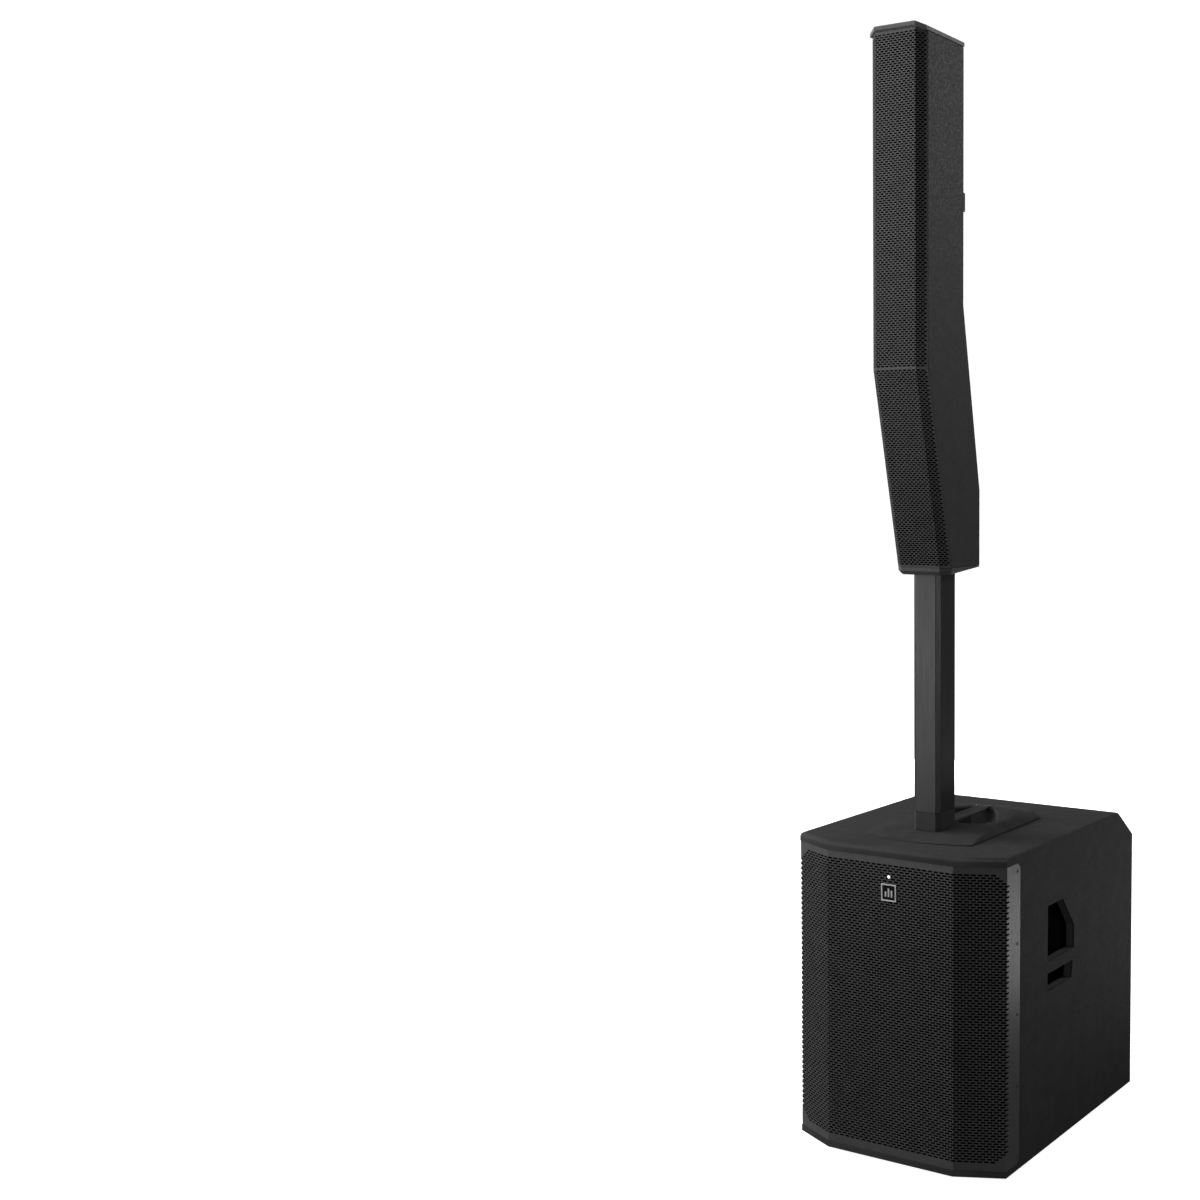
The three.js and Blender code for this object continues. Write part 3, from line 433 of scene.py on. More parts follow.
def modified(holder, *others):
    """The holder's mesh with its modifiers applied. The holders are removed."""
    bpy.context.view_layer.update()
    made = bmesh.new()
    made.from_object(holder, bpy.context.evaluated_depsgraph_get())
    for spent in (holder, *others):
        mesh = spent.data
        bpy.data.objects.remove(spent)
        bpy.data.meshes.remove(mesh)
    return made


def boolean(bm, tool, operation):
    """bm joined with or cut by tool, both in millimetres. Both are used up."""
    target, other = holder_of(bm), holder_of(tool)
    modifier = target.modifiers.new("boolean", "BOOLEAN")
    modifier.operation = operation
    modifier.solver = "EXACT"
    modifier.object = other
    made = modified(target, other)
    clean(made)
    return made


def soften(bm, width, segments=2, share=None, sharpest=25):
    """bm with its edges rounded, those that turn by more than sharpest degrees, each by the share of width
    that share() gives. bm is used up."""
    limit = math.radians(sharpest)
    weight = bm.edges.layers.float.new("bevel_weight_edge")
    for edge in bm.edges:
        if len(edge.link_faces) == 2 and edge.calc_face_angle(0) > limit:
            edge[weight] = 1.0 if share is None else share(edge)
    holder = holder_of(bm)
    modifier = holder.modifiers.new("bevel", "BEVEL")
    modifier.limit_method = "WEIGHT"
    modifier.width = width
    modifier.segments = segments
    return modified(holder)


SHARP_ANGLE = math.radians(38)


def piece(name, bm, slot, body, replaced=(), smooth=True):
    """Turns a mesh in millimetres into a piece that rides on a CAD body."""
    bmesh.ops.transform(bm, matrix=TO_METRES, verts=bm.verts)
    mesh = bpy.data.meshes.new(name)
    for face in bm.faces:
        face.smooth = smooth
    for edge in bm.edges:
        if len(edge.link_faces) != 2 or edge.calc_face_angle(0) > SHARP_ANGLE:
            edge.smooth = False
    bm.to_mesh(mesh)
    bm.free()
    mesh.materials.append(LOOKS[slot])
    made = bpy.data.objects.new(name, mesh)
    bpy.context.scene.collection.objects.link(made)
    if smooth:
        weighted = made.modifiers.new("weighted_normals", "WEIGHTED_NORMAL")
        weighted.keep_sharp = True
    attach(made, body)
    if replaced:
        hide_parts(*replaced)
    return made


# ---------- Carried-over CAD nodes ----------

for cad_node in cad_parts.values():
    for place in cad_node.material_slots:
        place.material = LOOKS[place.material.name.split(".")[0]]

# ---------- Bass cabinet: shell ----------

BOARDS = (
    "top_board", "bottom_board", "left_side_board", "right_side_board", "back_board", "rear_sloping_board",
)

# The widths of the rounded edges: the top board's front and sides, the grip's windows, and all others.
ROUND_OVER = 12
TOP_EDGE = 4
WINDOW_EDGE = 3.5
PLAIN_EDGE = 2

# The grip's two windows through a side board, as (y, z), and the thickness of their lining.
WINDOW_START = 194
WINDOW_END = 302
UPPER_WINDOW = ((WINDOW_START, 341), (WINDOW_END, 341), (WINDOW_END, 384), (255, 443), (WINDOW_START, 443))
LOWER_WINDOW = ((WINDOW_START, 287), (291, 287), (297, 319), (WINDOW_START, 319))
LINER = 0.6

OPENING_REACH = 140  # from the middle: more than half the width of any opening in the top or the back
REBATE_CORNER = FLANGE_CORNER + 1.4
REBATE_BACK_Y = FLANGE_Y + 1.2
REBATE_FOOT_Z = grille_low.z - 0.2
REBATE_TOP_Z = grille_high.z + 0.5
NEAR = 0.1


def is_slope(point):
    """Whether a point is on the rear's sloping top."""
    slope = (BACK_Y - SLOPE_TOP_Y) / (TOP_Z - SLOPE_FOOT_Z)
    return abs(point.y - (BACK_Y - (point.z - SLOPE_FOOT_Z) * slope)) < NEAR


def at_side(a, b):
    """Whether both points are on the outer face of a side board."""
    return abs(a.x) > HALF_WIDTH - NEAR and abs(b.x) > HALF_WIDTH - NEAR


def top_edge(edge):
    """How much of the front's round-over an edge of the top board gets."""
    a, b = (v.co for v in edge.verts)
    if min(a.z, b.z) < TOP_Z - NEAR:
        return 0.0
    if max(a.y, b.y) < FACET_SETBACK + NEAR:
        return 1.0
    return TOP_EDGE / ROUND_OVER if at_side(a, b) else 0.0


def shell_edge(edge):
    """How much of the windows' round-over another edge of the cabinet's shell gets."""
    a, b = (v.co for v in edge.verts)
    if at_side(a, b) and WINDOW_START - NEAR < min(a.y, b.y) and max(a.y, b.y) < WINDOW_END + NEAR:
        return 1.0
    outer = [is_slope(p) or p.y > BACK_Y - NEAR or p.z < NEAR or p.z > TOP_Z - NEAR for p in (a, b)]
    opening = max(abs(a.x), abs(b.x)) < OPENING_REACH and min(a.y, b.y) > NEAR
    if (at_side(a, b) or all(outer)) and not opening:
        return PLAIN_EDGE / WINDOW_EDGE
    return 0.0


def add_rebate_corners():
    """Fills the corners of both rebates, which follow the cut corners of the grille's flanges."""
    y1 = REBATE_BACK_Y
    bm = bmesh.new()
    for side in (-1, 1):
        for end, z1 in ((-1, REBATE_FOOT_Z), (1, REBATE_TOP_Z)):
            outline = [(y1, z1), (y1 - REBATE_CORNER, z1), (y1, z1 - end * REBATE_CORNER)]
            prism(bm, outline, side * (HALF_WIDTH - 6), side * (HALF_WIDTH - 0.1))
    piece("rebate_corners", bm, "coated_plywood", "bass_cabinet", smooth=False)


def add_cabinet_shell():
    """The boards as one coated box with soft edges."""
    bm = soften(cad_mesh(BOARDS[0]), ROUND_OVER, 5, top_edge)
    for board in BOARDS[1:]:
        bm = boolean(bm, cad_mesh(board), "UNION")
    piece("cabinet_shell", soften(bm, WINDOW_EDGE, 3, shell_edge), "coated_plywood", "bass_cabinet", BOARDS)


def inset(outline, depth):
    """A convex outline, given anticlockwise, with each of its sides moved in by depth."""
    points = [Vector(p) for p in outline]
    made = []
    for before, here, beyond in zip(points[-1:] + points[:-1], points, points[1:] + points[:1]):
        first, second = (here - before).normalized(), (beyond - here).normalized()
        along = depth / (1 + first.dot(second))
        made.append(here + (first.orthogonal() + second.orthogonal()) * along)
    return made


def add_window_liners():
    """The thin lip of each handle cup that lines its window through the side board."""
    bm = bmesh.new()
    for side in (-1, 1):
        for window in (UPPER_WINDOW, LOWER_WINDOW):
            outer, inner = inset(window, 0.05), inset(window, LINER)
            x0, x1 = side * (HALF_WIDTH - PLY - 1), side * (HALF_WIDTH - WINDOW_EDGE + 0.4)
            stations = ((x0, outer), (x1, outer), (x1, inner), (x0, inner), (x0, outer))
            rings = [[(x, p.x, p.y) for p in points] for x, points in stations]
            loft(bm, rings, cap_start=False, cap_end=False)
    bmesh.ops.remove_doubles(bm, verts=bm.verts, dist=0.001)
    bmesh.ops.recalc_face_normals(bm, faces=bm.faces)
    # The lip is lighter than the rest of its cup: painted light on the window walls.
    piece("window_liners", bm, "liner_plastic_painted_light", "bass_cabinet", smooth=False)


add_cabinet_shell()
add_rebate_corners()
add_window_liners()

# ---------- Perforated sheets ----------

END = "end"  # stands for a column's top edge where a level's number is expected
SLOT_END_STEPS = 3


class Sheet:
    """A folded perforated sheet of rows of slots, each row half a slot pitch beside the next.

    columns are half a pitch apart: each is the (x, y) of the sheet's outer face and of its inner face.
    levels are the rows' edges from the foot up. slot_length is that of a slot at the middle of the sheet,
    and a slot reaches over the same share of wider columns. Each column goes up to the level numbered in
    tops, and on to the height in ends if there is one. shift gives how far back a height leans, and offset
    the number of rows below."""

    def __init__(
        self, columns, levels, slot_length, slot_height,
        shift=lambda z: 0.0, tops=None, ends=None, offset=0,
    ):
        self.columns = columns
        self.levels = levels
        self.slot = (slot_length / 2 / self.span(len(columns) // 2, 1), slot_height / 2)
        self.shift = shift
        self.tops = tops or [len(levels) - 1] * len(columns)
        self.ends = ends
        self.offset = offset
        self.verts = []
        self.faces = []
        self.known = {}

    def vertex(self, column, z, side):
        """A new point at a column, which may be a fraction, on side 0 (outer) or 1 (inner)."""
        low = max(0, min(len(self.columns) - 2, math.floor(column)))
        share = column - low
        (x0, y0), (x1, y1) = self.columns[low][side], self.columns[low + 1][side]
        x, y = x0 + (x1 - x0) * share, y0 + (y1 - y0) * share
        self.verts.append((x, y + self.shift(z), z))
        return len(self.verts) - 1

    def grid(self, column, level, side):
        """The shared point where a column meets a level."""
        key = (column, level, side)
        if key not in self.known:
            z = self.ends[column] if level == END else self.levels[level]
            self.known[key] = self.vertex(column, z, side)
        return self.known[key]

    def rim(self, column):
        """The topmost level of a column."""
        return END if self.ends else self.tops[column]

    def span(self, column, sign):
        """Millimetres from one column to the next."""
        low = column if sign > 0 else column - 1
        (x0, y0), (x1, y1) = self.columns[low][0], self.columns[low + 1][0]
        return math.hypot(x1 - x0, y1 - y0)

    def slot_points(self, middle, z, side):
        """The slot's outline from its top middle, round by way of its left end."""
        reach, radius = self.slot
        ends = []
        for sign in (-1, 1):
            span = self.span(middle, sign)
            centre = middle + sign * (reach - radius / span)
            turns = [math.pi * i / SLOT_END_STEPS for i in range(SLOT_END_STEPS + 1)]
            arc = [(centre + sign * radius * math.sin(t) / span, z + radius * math.cos(t)) for t in turns]
            ends.append(arc if sign < 0 else arc[::-1])
        left, right = ends
        outline = [(middle, z + radius), *left, (middle, z - radius), *right]
        return [self.vertex(c, height, side) for c, height in outline]

    def both_sides(self, make):
        """Adds a face on each side from the corners that make(side) gives as seen from the front."""
        self.faces += [make(0), make(1)[::-1]]

    def cell(self, first, row):
        """A cell two columns wide with a slot in it."""
        middle = first + 1
        height = (self.levels[row] + self.levels[row + 1]) / 2
        rims = []
        for side in (0, 1):
            top = [self.grid(c, row + 1, side) for c in range(first, first + 3)]
            foot = [self.grid(c, row, side) for c in range(first, first + 3)]
            slot = self.slot_points(middle, height, side)
            half = len(slot) // 2
            left = [top[1], top[0], foot[0], foot[1], slot[half], *slot[half - 1:0:-1], slot[0]]
            right = [foot[1], foot[2], top[2], top[1], slot[0], *slot[:half:-1], slot[half]]
            self.faces += [left, right] if side == 0 else [left[::-1], right[::-1]]
            rims.append(slot)
        front, back = rims
        for i in range(len(front)):
            j = (i + 1) % len(front)
            self.faces.append([front[i], front[j], back[j], back[i]])

    def plain(self, column, row):
        """The solid sheet between one column and the next, over one row."""
        corners = [(column, row), (column + 1, row), (column + 1, row + 1), (column, row + 1)]
        self.both_sides(lambda side: [self.grid(c, level, side) for c, level in corners])

    def top_strip(self, column):
        """The solid stretch between a column's topmost slots and the sheet's top edge."""
        here, beyond = self.tops[column], self.tops[column + 1]
        start = min(here, beyond)
        corners = [(column + 1, level) for level in range(start, beyond + 1)]
        corners += [(column + 1, END), (column, END)]
        corners += [(column, level) for level in range(here, start - 1, -1)]
        self.both_sides(lambda side: [self.grid(c, level, side) for c, level in corners])

    def edge(self, start, end):
        """The sheet's thickness along its rim, between two grid points."""
        self.faces.append([
            self.grid(*start, 0), self.grid(*end, 0), self.grid(*end, 1), self.grid(*start, 1),
        ])

    def build(self, slotted):
        """The sheet, with a slot in each cell for which slotted(middle column, height) holds."""
        last = len(self.columns) - 1
        for row in range(len(self.levels) - 1):
            height = (self.levels[row] + self.levels[row + 1]) / 2
            there = [row < min(self.tops[c], self.tops[c + 1]) for c in range(last)]
            column = 0
            while column < last:
                starts = (column + row + self.offset) % 2 == 0 and column + 2 <= last
                if starts and there[column] and there[column + 1] and slotted(column + 1, height):
                    self.cell(column, row)
                    column += 2
                    continue
                if there[column]:
                    self.plain(column, row)
                column += 1
        for column in range(last):
            if self.ends:
                self.top_strip(column)
            self.edge((column, 0), (column + 1, 0))
            self.edge((column, self.rim(column)), (column + 1, self.rim(column + 1)))
        for column in (0, last):
            levels = [*range(self.tops[column] + 1), *([END] if self.ends else [])]
            for low, high in zip(levels, levels[1:]):
                self.edge((column, low), (column, high))
        bm = bmesh.new()
        verts = [bm.verts.new(place) for place in self.verts]
        for face in self.faces:
            bm.faces.new([verts[i] for i in face])
        bmesh.ops.recalc_face_normals(bm, faces=bm.faces)
        return bm


def spaced(start, end, steps):
    """The points from start to end in equal steps, without start."""
    return [tuple(a + (b - a) * i / steps for a, b in zip(start, end)) for i in range(1, steps + 1)]


def folded_columns(outer, inner, steps):
    """Columns along a folded outline whose stretches are cut into the given numbers of steps."""
    made = [(outer[0], inner[0])]
    for i, count in enumerate(steps):
        outer_points = spaced(outer[i], outer[i + 1], count)
        inner_points = spaced(inner[i], inner[i + 1], count)
        made += list(zip(outer_points, inner_points))
    return made


def mirror_outline(half):
    """A half outline from the outside left to the middle, completed on the right."""
    return [*half, *[(-x, y) for x, y in reversed(half)]]


# ---------- Bass cabinet: grille ----------

SHEET = 1.1
GRILLE_INSET = 1.5  # of the grille's face behind the boards' front edges

# The field of slots, with cut corners. Steps are half a slot's pitch, and a slot is its length and height.
FIELD_FOOT_Z = 25
FIELD_TOP_Z = 533
FIELD_CORNER = 20
BASS_ROWS = 109
BASS_SLOT = (9.9, 3.5)
FACET_STEPS = 45
SIDE_FACET_STEPS = 16

# The flanges, which the field of slots reaches into by the wrap.
FLANGE_WRAP = 9
FLANGE_FRONT_Y = FACET_SETBACK + GRILLE_INSET + FLANGE_WRAP
FLANGE_SCREW_Y = 77
FLANGE_SCREW_ZS = (25, 151, 279, 404, 531)
FLANGE_SCREW_RADIUS = 3.0
FLANGE_HOLE = ((2.4, 0), (2.4, 1.4), (3.6, SHEET + 1), (3.6, SHEET + 2))  # (radius, height) from behind

FOAM_GAP = 0.4
BASS_FOAM = 4


def bass_outline(depth):
    """Half the grille's outline, depth behind its outer face, from the left flange to the middle facet."""
    edge = grille_high.x - depth
    return [
        (-edge, FLANGE_FRONT_Y),
        (-edge, FACET_SETBACK + GRILLE_INSET + depth * 0.7),
        (-FACET_HALF_WIDTH + depth * 0.2, GRILLE_INSET + depth),
    ]


def add_bass_grille():
    """The grille in two stretches that meet at a row's edge."""
    steps = [1, SIDE_FACET_STEPS, FACET_STEPS, SIDE_FACET_STEPS, 1]
    columns = folded_columns(mirror_outline(bass_outline(0)), mirror_outline(bass_outline(SHEET)), steps)
    last = len(columns) - 1
    pitch = (FIELD_TOP_Z - FIELD_FOOT_Z) / BASS_ROWS
    levels = [grille_low.z, *[FIELD_FOOT_Z + pitch * i for i in range(BASS_ROWS + 1)]]
    facet_step = math.hypot(HALF_WIDTH - FACET_HALF_WIDTH, FACET_SETBACK) / SIDE_FACET_STEPS

    def slotted(middle, z):
        from_side = (min(middle, last - middle) - 1) * facet_step
        from_end = min(z - FIELD_FOOT_Z, FIELD_TOP_Z - z)
        return from_end > 0 and from_side + from_end > FIELD_CORNER

    split = len(levels) // 2
    lower = Sheet(columns, levels[:split + 1], *BASS_SLOT).build(slotted)
    piece("bass_grille_lower", lower, "black_steel", "bass_cabinet", ["bass_grille"], smooth=False)
    ends = [grille_high.z] * len(columns)
    upper = Sheet(columns, levels[split:], *BASS_SLOT, ends=ends, offset=split).build(slotted)
    piece("bass_grille_upper", upper, "black_steel", "bass_cabinet", smooth=False)


def add_grille_flange(name, side):
    """The folded edge along a side, with countersunk holes for its screws."""
    z0, z1, y0, y1, c = grille_low.z, grille_high.z, FLANGE_FRONT_Y, FLANGE_Y, FLANGE_CORNER
    outline = [(y0, z0), (y1 - c, z0), (y1, z0 + c), (y1, z1 - c), (y1 - c, z1), (y0, z1)]
    outer = side * grille_high.x
    bm = bmesh.new()
    prism(bm, outline, outer - side * SHEET, outer)
    holes, screws = bmesh.new(), bmesh.new()
    out = (side, 0, 0)
    for z in FLANGE_SCREW_ZS:
        behind = (outer - side * (SHEET + 1), FLANGE_SCREW_Y, z)
        turned(holes, FLANGE_HOLE, behind, out, 20)
        screw(screws, (outer - side * SHEET, FLANGE_SCREW_Y, z), out, FLANGE_SCREW_RADIUS, SHEET)
    bm = soften(boolean(bm, holes, "DIFFERENCE"), 0.5, 2, lambda e: all(v.co.y > y0 + 0.1 for v in e.verts))
    piece(f"{name}_grille_flange", bm, "black_steel", "bass_cabinet")
    piece(f"{name}_grille_screws", screws, "black_steel", "bass_cabinet")


def add_bass_foam():
    """The acoustic foam behind the grille."""
    front = SHEET + FOAM_GAP
    outer, inner = (bass_outline(depth)[1:] for depth in (front, front + BASS_FOAM))
    outline = mirror_outline(outer) + mirror_outline(inner)[::-1]
    bm = bmesh.new()
    prism(bm, outline, PLY + 1, TOP_Z - PLY - 1, "z")
    piece("bass_grille_foam", bm, "foam", "bass_cabinet", smooth=False)


add_bass_grille()
add_grille_flange("left", -1)
add_grille_flange("right", 1)
add_bass_foam()

# ---------- Bass cabinet: badge and status light ----------

BADGE_BORDER = 2.8
BAR_HEIGHTS = (9, 15, 12)
BAR_WIDTH = 3.2
BAR_PITCH = 6.2


def rim(bm, x0, x1, z0, z1, border, y0, y1):
    """A rectangular frame between y0 and y1. Its border reaches inwards, or outwards if it is negative."""
    def ring(depth, y):
        left, right, foot, top = x0 + depth, x1 - depth, z0 + depth, z1 - depth
        return [(left, y, foot), (right, y, foot), (right, y, top), (left, y, top)]

    rings = [ring(0, y1), ring(0, y0), ring(border, y0), ring(border, y1), ring(0, y1)]
    loft(bm, rings, cap_start=False, cap_end=False)
    bmesh.ops.remove_doubles(bm, verts=bm.verts, dist=0.001)
    bmesh.ops.recalc_face_normals(bm, faces=bm.faces)


def add_badge():
    """A plain square frame round a dark plate with three bars of a level meter."""
    low, high = node_box("badge")
    middle = node_middle("badge")
    frame_mesh = bmesh.new()
    rim(frame_mesh, low.x, high.x, low.z, high.z, BADGE_BORDER, low.y, high.y)
    piece("badge_frame", soften(frame_mesh, 0.45, 2), "badge_metal", "bass_cabinet", ["badge"])
    plate = bmesh.new()
    half = (high.x - low.x) / 2 - BADGE_BORDER
    plate_y = low.y + 0.6
    box(plate, middle.x - half, middle.x + half, plate_y, high.y, middle.z - half, middle.z + half)
    piece("badge_plate", soften(plate, 0.1, 1), "dark_glass", "bass_cabinet")
    bars = bmesh.new()
    foot = middle.z - max(BAR_HEIGHTS) / 2
    for i, height in enumerate(BAR_HEIGHTS):
        x = middle.x + (i - 1) * BAR_PITCH
        box(bars, x - BAR_WIDTH / 2, x + BAR_WIDTH / 2, low.y + 0.15, plate_y + 0.01, foot, foot + height)
    piece("badge_bars", soften(bars, 0.2, 2), "badge_metal", "bass_cabinet")


def add_status_light():
    """A small domed lens."""
    low, high = node_box("status_light")
    middle = node_middle("status_light")
    radius = (high.x - low.x) / 2
    dome = [(0, 0), (radius * 0.5, 0.12), (radius * 0.85, 0.45), (radius, 0.9), (radius, 1.2), (0, 1.2)]
    lens = bmesh.new()
    turned(lens, dome, (middle.x, low.y, middle.z), segments=24)
    piece("status_lens", lens, "lit_white", "bass_cabinet", ["status_light"])


add_badge()
add_status_light()

# ---------- Bass cabinet: pole mount and top handle ----------

# The widths of the pad's rounded edges: at its top, elsewhere above the cabinet, and inside it.
PAD_TOP_EDGE = 5
PAD_EDGE = 0.6
PAD_HIDDEN_EDGE = 0.25

# The bar's section: the share of its half width and of its height, over the ridge at each of its sides.
BAR_SIDE = ((1, 0), (1, 0.5), (0.84, 0.9), (0.74, 1), (0.62, 1), (0.52, 0.7))
# How far back, the share of the half width, the underside and the top, from the bar's rest on the pad.
BAR_STATIONS = (
    (0.2, 1, 0, 0.6), (6, 0.95, 0, 1.0), (12, 0.82, 0, 1.2), (20, 0.75, -6, 1.5),
    (60, 0.72, -6, 1.8), (100, 0.72, -6, 2.1), (138, 0.74, -5.5, 2.3),
    (146, 0.8, -1, 2.2), (155, 0.9, 0, 1.6), (162, 0.97, 0, 1.0), (166.8, 1, 0, 0.5),
)
BAR_HOLES = 18
BAR_HOLE_START = 28
BAR_HOLE_PITCH = 6.0
BAR_HOLE = ((1.4, -1), (1.4, 12))  # (radius, height)


def add_pole_mount():
    """The moulded pad, with the bowl for the fingers and the pole's socket."""
    def share(edge):
        lowest = min(v.co.z for v in edge.verts)
        if lowest > PAD_TOP_Z - 0.5:
            return 1.0
        return (PAD_EDGE if lowest > TOP_Z else PAD_HIDDEN_EDGE) / PAD_TOP_EDGE

    bm = soften(cad_mesh("pole_mount_plate"), PAD_TOP_EDGE, 4, share)
    piece("pole_mount_pad", bm, "pad_plastic", "bass_cabinet", ["pole_mount_plate"])


def add_top_handle():
    """A grip bar with a ridge along each side of a perforated channel."""
    low, high = node_box("top_handle")
    rest = PAD_TOP_Z + 0.3
    across = [*[(-u, v) for u, v in BAR_SIDE], *reversed(BAR_SIDE)]
    rings = []
    for along, width, under, over in BAR_STATIONS:
        rings.append([
            (u * width * high.x, low.y + along, rest + under + (over - under) * v) for u, v in across])
    bm = bmesh.new()
    loft(bm, rings)
    bmesh.ops.recalc_face_normals(bm, faces=bm.faces)
    holes = bmesh.new()
    for i in range(BAR_HOLES):
        turned(holes, BAR_HOLE, (0, low.y + BAR_HOLE_START + i * BAR_HOLE_PITCH, rest), (0, 0, 1), 10)
    bm = soften(boolean(bm, holes, "DIFFERENCE"), 0.5, 2, sharpest=30)
    piece("top_handle_bar", bm, "moulded_plastic", "bass_cabinet", ["top_handle"])


add_pole_mount()
add_top_handle()

# ---------- Refined copies of CAD nodes ----------

# For each node: the CAD body, the material slot, and the width of its softened edges.
REFINED = {
    "pole_tube": ("pole", "black_aluminium", 0.9),
    "pole_foot": ("pole", "moulded_plastic", 0.9),
    "pole_head": ("pole", "moulded_plastic", 0.9),
    "column_housing": ("column", "moulded_plastic", 1.4),
    "column_top_cap": ("column", "cap_plastic", 1.4),
    "column_foot_plate": ("column", "foot_plastic", 1.6),
    "lifting_handle": ("column", "moulded_plastic", 2.0),
    "column_baffle": ("column", "moulded_plastic", 0.5),
    "crossover_board": ("column", "circuit_board", 0.3),
    # The handle cups take the darkened plastic, which paints the shade in their hollows.
    "left_handle_cup": ("bass_cabinet", "cup_plastic_painted_shade", 2.0),
    "right_handle_cup": ("bass_cabinet", "cup_plastic_painted_shade", 2.0),
    "left_port_tube": ("bass_cabinet", "moulded_plastic", 1.0),
    "right_port_tube": ("bass_cabinet", "moulded_plastic", 1.0),
    "woofer_frame": ("bass_cabinet", "black_aluminium", 0.8),
    "woofer_magnet": ("bass_cabinet", "ferrite", 1.0),
    "woofer_surround": ("bass_cabinet", "black_rubber", 0.3),
    "woofer_cone": ("woofer_cone", "cone_paper", 0.4),
    "amplifier_panel": ("bass_cabinet", "black_aluminium", 0.4),
    "heat_sink": ("bass_cabinet", "black_aluminium", 0.4),
    "amplifier_chassis": ("bass_cabinet", "bare_aluminium", 0.5),
    "display_window": ("bass_cabinet", "dark_glass", 0.6),
    "combo_jack_1": ("bass_cabinet", "moulded_plastic", 0.4),
    "combo_jack_2": ("bass_cabinet", "moulded_plastic", 0.4),
    "link_jack": ("bass_cabinet", "moulded_plastic", 0.4),
    "latch_tab_1": ("latch_tab_1", "bare_aluminium", 0.4),
    "latch_tab_2": ("latch_tab_2", "bare_aluminium", 0.4),
    "power_inlet": ("bass_cabinet", "moulded_plastic", 0.4),
    "power_rocker": ("power_rocker", "moulded_plastic", 0.6),
    "encoder_shaft": ("encoder_press", "bare_aluminium", 0.3),
    "encoder_knob": ("encoder_turn", "moulded_plastic", 0.5),
    "level_knob_1": ("level_knob_1", "moulded_plastic", 0.4),
    "level_knob_2": ("level_knob_2", "moulded_plastic", 0.4),
}
COLUMN_DRIVERS = 8
for number in range(1, COLUMN_DRIVERS + 1):
    REFINED[f"column_driver_{number}"] = ("column", "cone_paper", 0.3)
for end in ("front", "rear"):
    for side in ("left", "right"):
        REFINED[f"{end}_{side}_foot"] = ("bass_cabinet", "black_rubber", 0.8)

for node, (body, slot, width) in REFINED.items():
    piece(f"{node}_finished", soften(cad_mesh(node), width, 2), slot, body, [node])

# ---------- Column: grille ----------

COLUMN_SHEET = 1.2
COLUMN_FOAM = 3
VISOR_DROP = 6  # from the front of the cap's underside to its sides

# The field of slots. Steps are half a slot's pitch, and a slot is its length and height.
COLUMN_FACE_STEPS = 18
COLUMN_CORNER_STEPS = 5
COLUMN_SLOT = (7.3, 2.8)
COLUMN_ROW = 3.87

# The solid bands at the foot, on each side of the fold, and at the top.
FOOT_BAND = 4
FOLD_BAND = 2
TOP_BAND = 4
COLUMN_CORNER_Y = COLUMN_FRONT_Y + 15.7


def column_outline(depth):
    """Half the grille's outline, depth behind its outer face, from the left edge to the front."""
    return [
        (-COLUMN_HALF_WIDTH + depth * 1.41, COLUMN_CORNER_Y),
        (-COLUMN_FRONT_HALF_WIDTH + depth * 0.41, COLUMN_FRONT_Y + depth),
    ]


def lean(z):
    """How far back the column's front is at a height."""
    return max(0.0, COLUMN_FOLD_Z - z) * COLUMN_LEAN


def add_column_grille():
    """The grille in two stretches that meet at the fold. Its top edge follows the underside of the cap."""
    steps = [COLUMN_CORNER_STEPS, COLUMN_FACE_STEPS, COLUMN_CORNER_STEPS]
    columns = folded_columns(
        mirror_outline(column_outline(0)), mirror_outline(column_outline(COLUMN_SHEET)), steps)
    last = len(columns) - 1
    foot = column_low.z
    below_fold, above_fold = COLUMN_FOLD_Z - FOLD_BAND, COLUMN_FOLD_Z + FOLD_BAND

    def rows(start, end, pitch):
        count = round((end - start) / pitch)
        return [start + (end - start) * i / count for i in range(count + 1)]

    def slotted(middle, z):
        return z > above_fold or below_fold > z > foot + FOOT_BAND

    def add(name, levels, replaced, **more):
        sheet = Sheet(columns, levels, *COLUMN_SLOT, lean, **more)
        piece(name, sheet.build(slotted), "black_steel", "column", replaced, smooth=False)

    leaning_row = COLUMN_ROW * math.cos(math.atan(COLUMN_LEAN))
    levels = [foot, *rows(foot + FOOT_BAND, below_fold, leaning_row), COLUMN_FOLD_Z]
    add("column_grille_lower", levels, ["column_grille"])
    levels = [COLUMN_FOLD_Z, *rows(above_fold, column_high.z - TOP_BAND, COLUMN_ROW)]
    reaches = [min(c, last - c, COLUMN_CORNER_STEPS) / COLUMN_CORNER_STEPS for c in range(last + 1)]
    ends = [column_high.z - VISOR_DROP * (1 - reach) for reach in reaches]
    tops = [max(i for i, z in enumerate(levels) if z < end - 1) for end in ends]
    add("column_grille_upper", levels, [], tops=tops, ends=ends)


def add_column_foam():
    """The acoustic foam behind the grille."""
    front = COLUMN_SHEET + FOAM_GAP
    outer, inner = (mirror_outline(column_outline(depth)) for depth in (front, front + COLUMN_FOAM))
    levels = [column_low.z + 1, COLUMN_FOLD_Z, column_high.z - VISOR_DROP - 1]
    sheet = Sheet(folded_columns(outer, inner, [1, 1, 1]), levels, *COLUMN_SLOT, lean)
    piece("column_grille_foam", sheet.build(lambda middle, z: False), "foam", "column", smooth=False)


add_column_grille()
add_column_foam()

# ---------- Amplifier panel ----------

PANEL_NODE = "amplifier_panel"
PANEL_FACE_Y = node_box(PANEL_NODE)[1].y
JACK_NODES = ("combo_jack_1", "combo_jack_2", "link_jack")
KNOB_NODES = ("level_knob_1", "level_knob_2", "encoder_knob")
OUTWARD = (0, 1, 0)

# Screws, as (radius, height), and where they are.
PANEL_SCREW = (3.4, 2.0)
PANEL_SCREW_X = 124
PANEL_SCREW_MARGIN = 17
JACK_SCREW = (1.9, 0.9)
JACK_SCREW_X = 10
JACK_SCREW_Z = 12.6

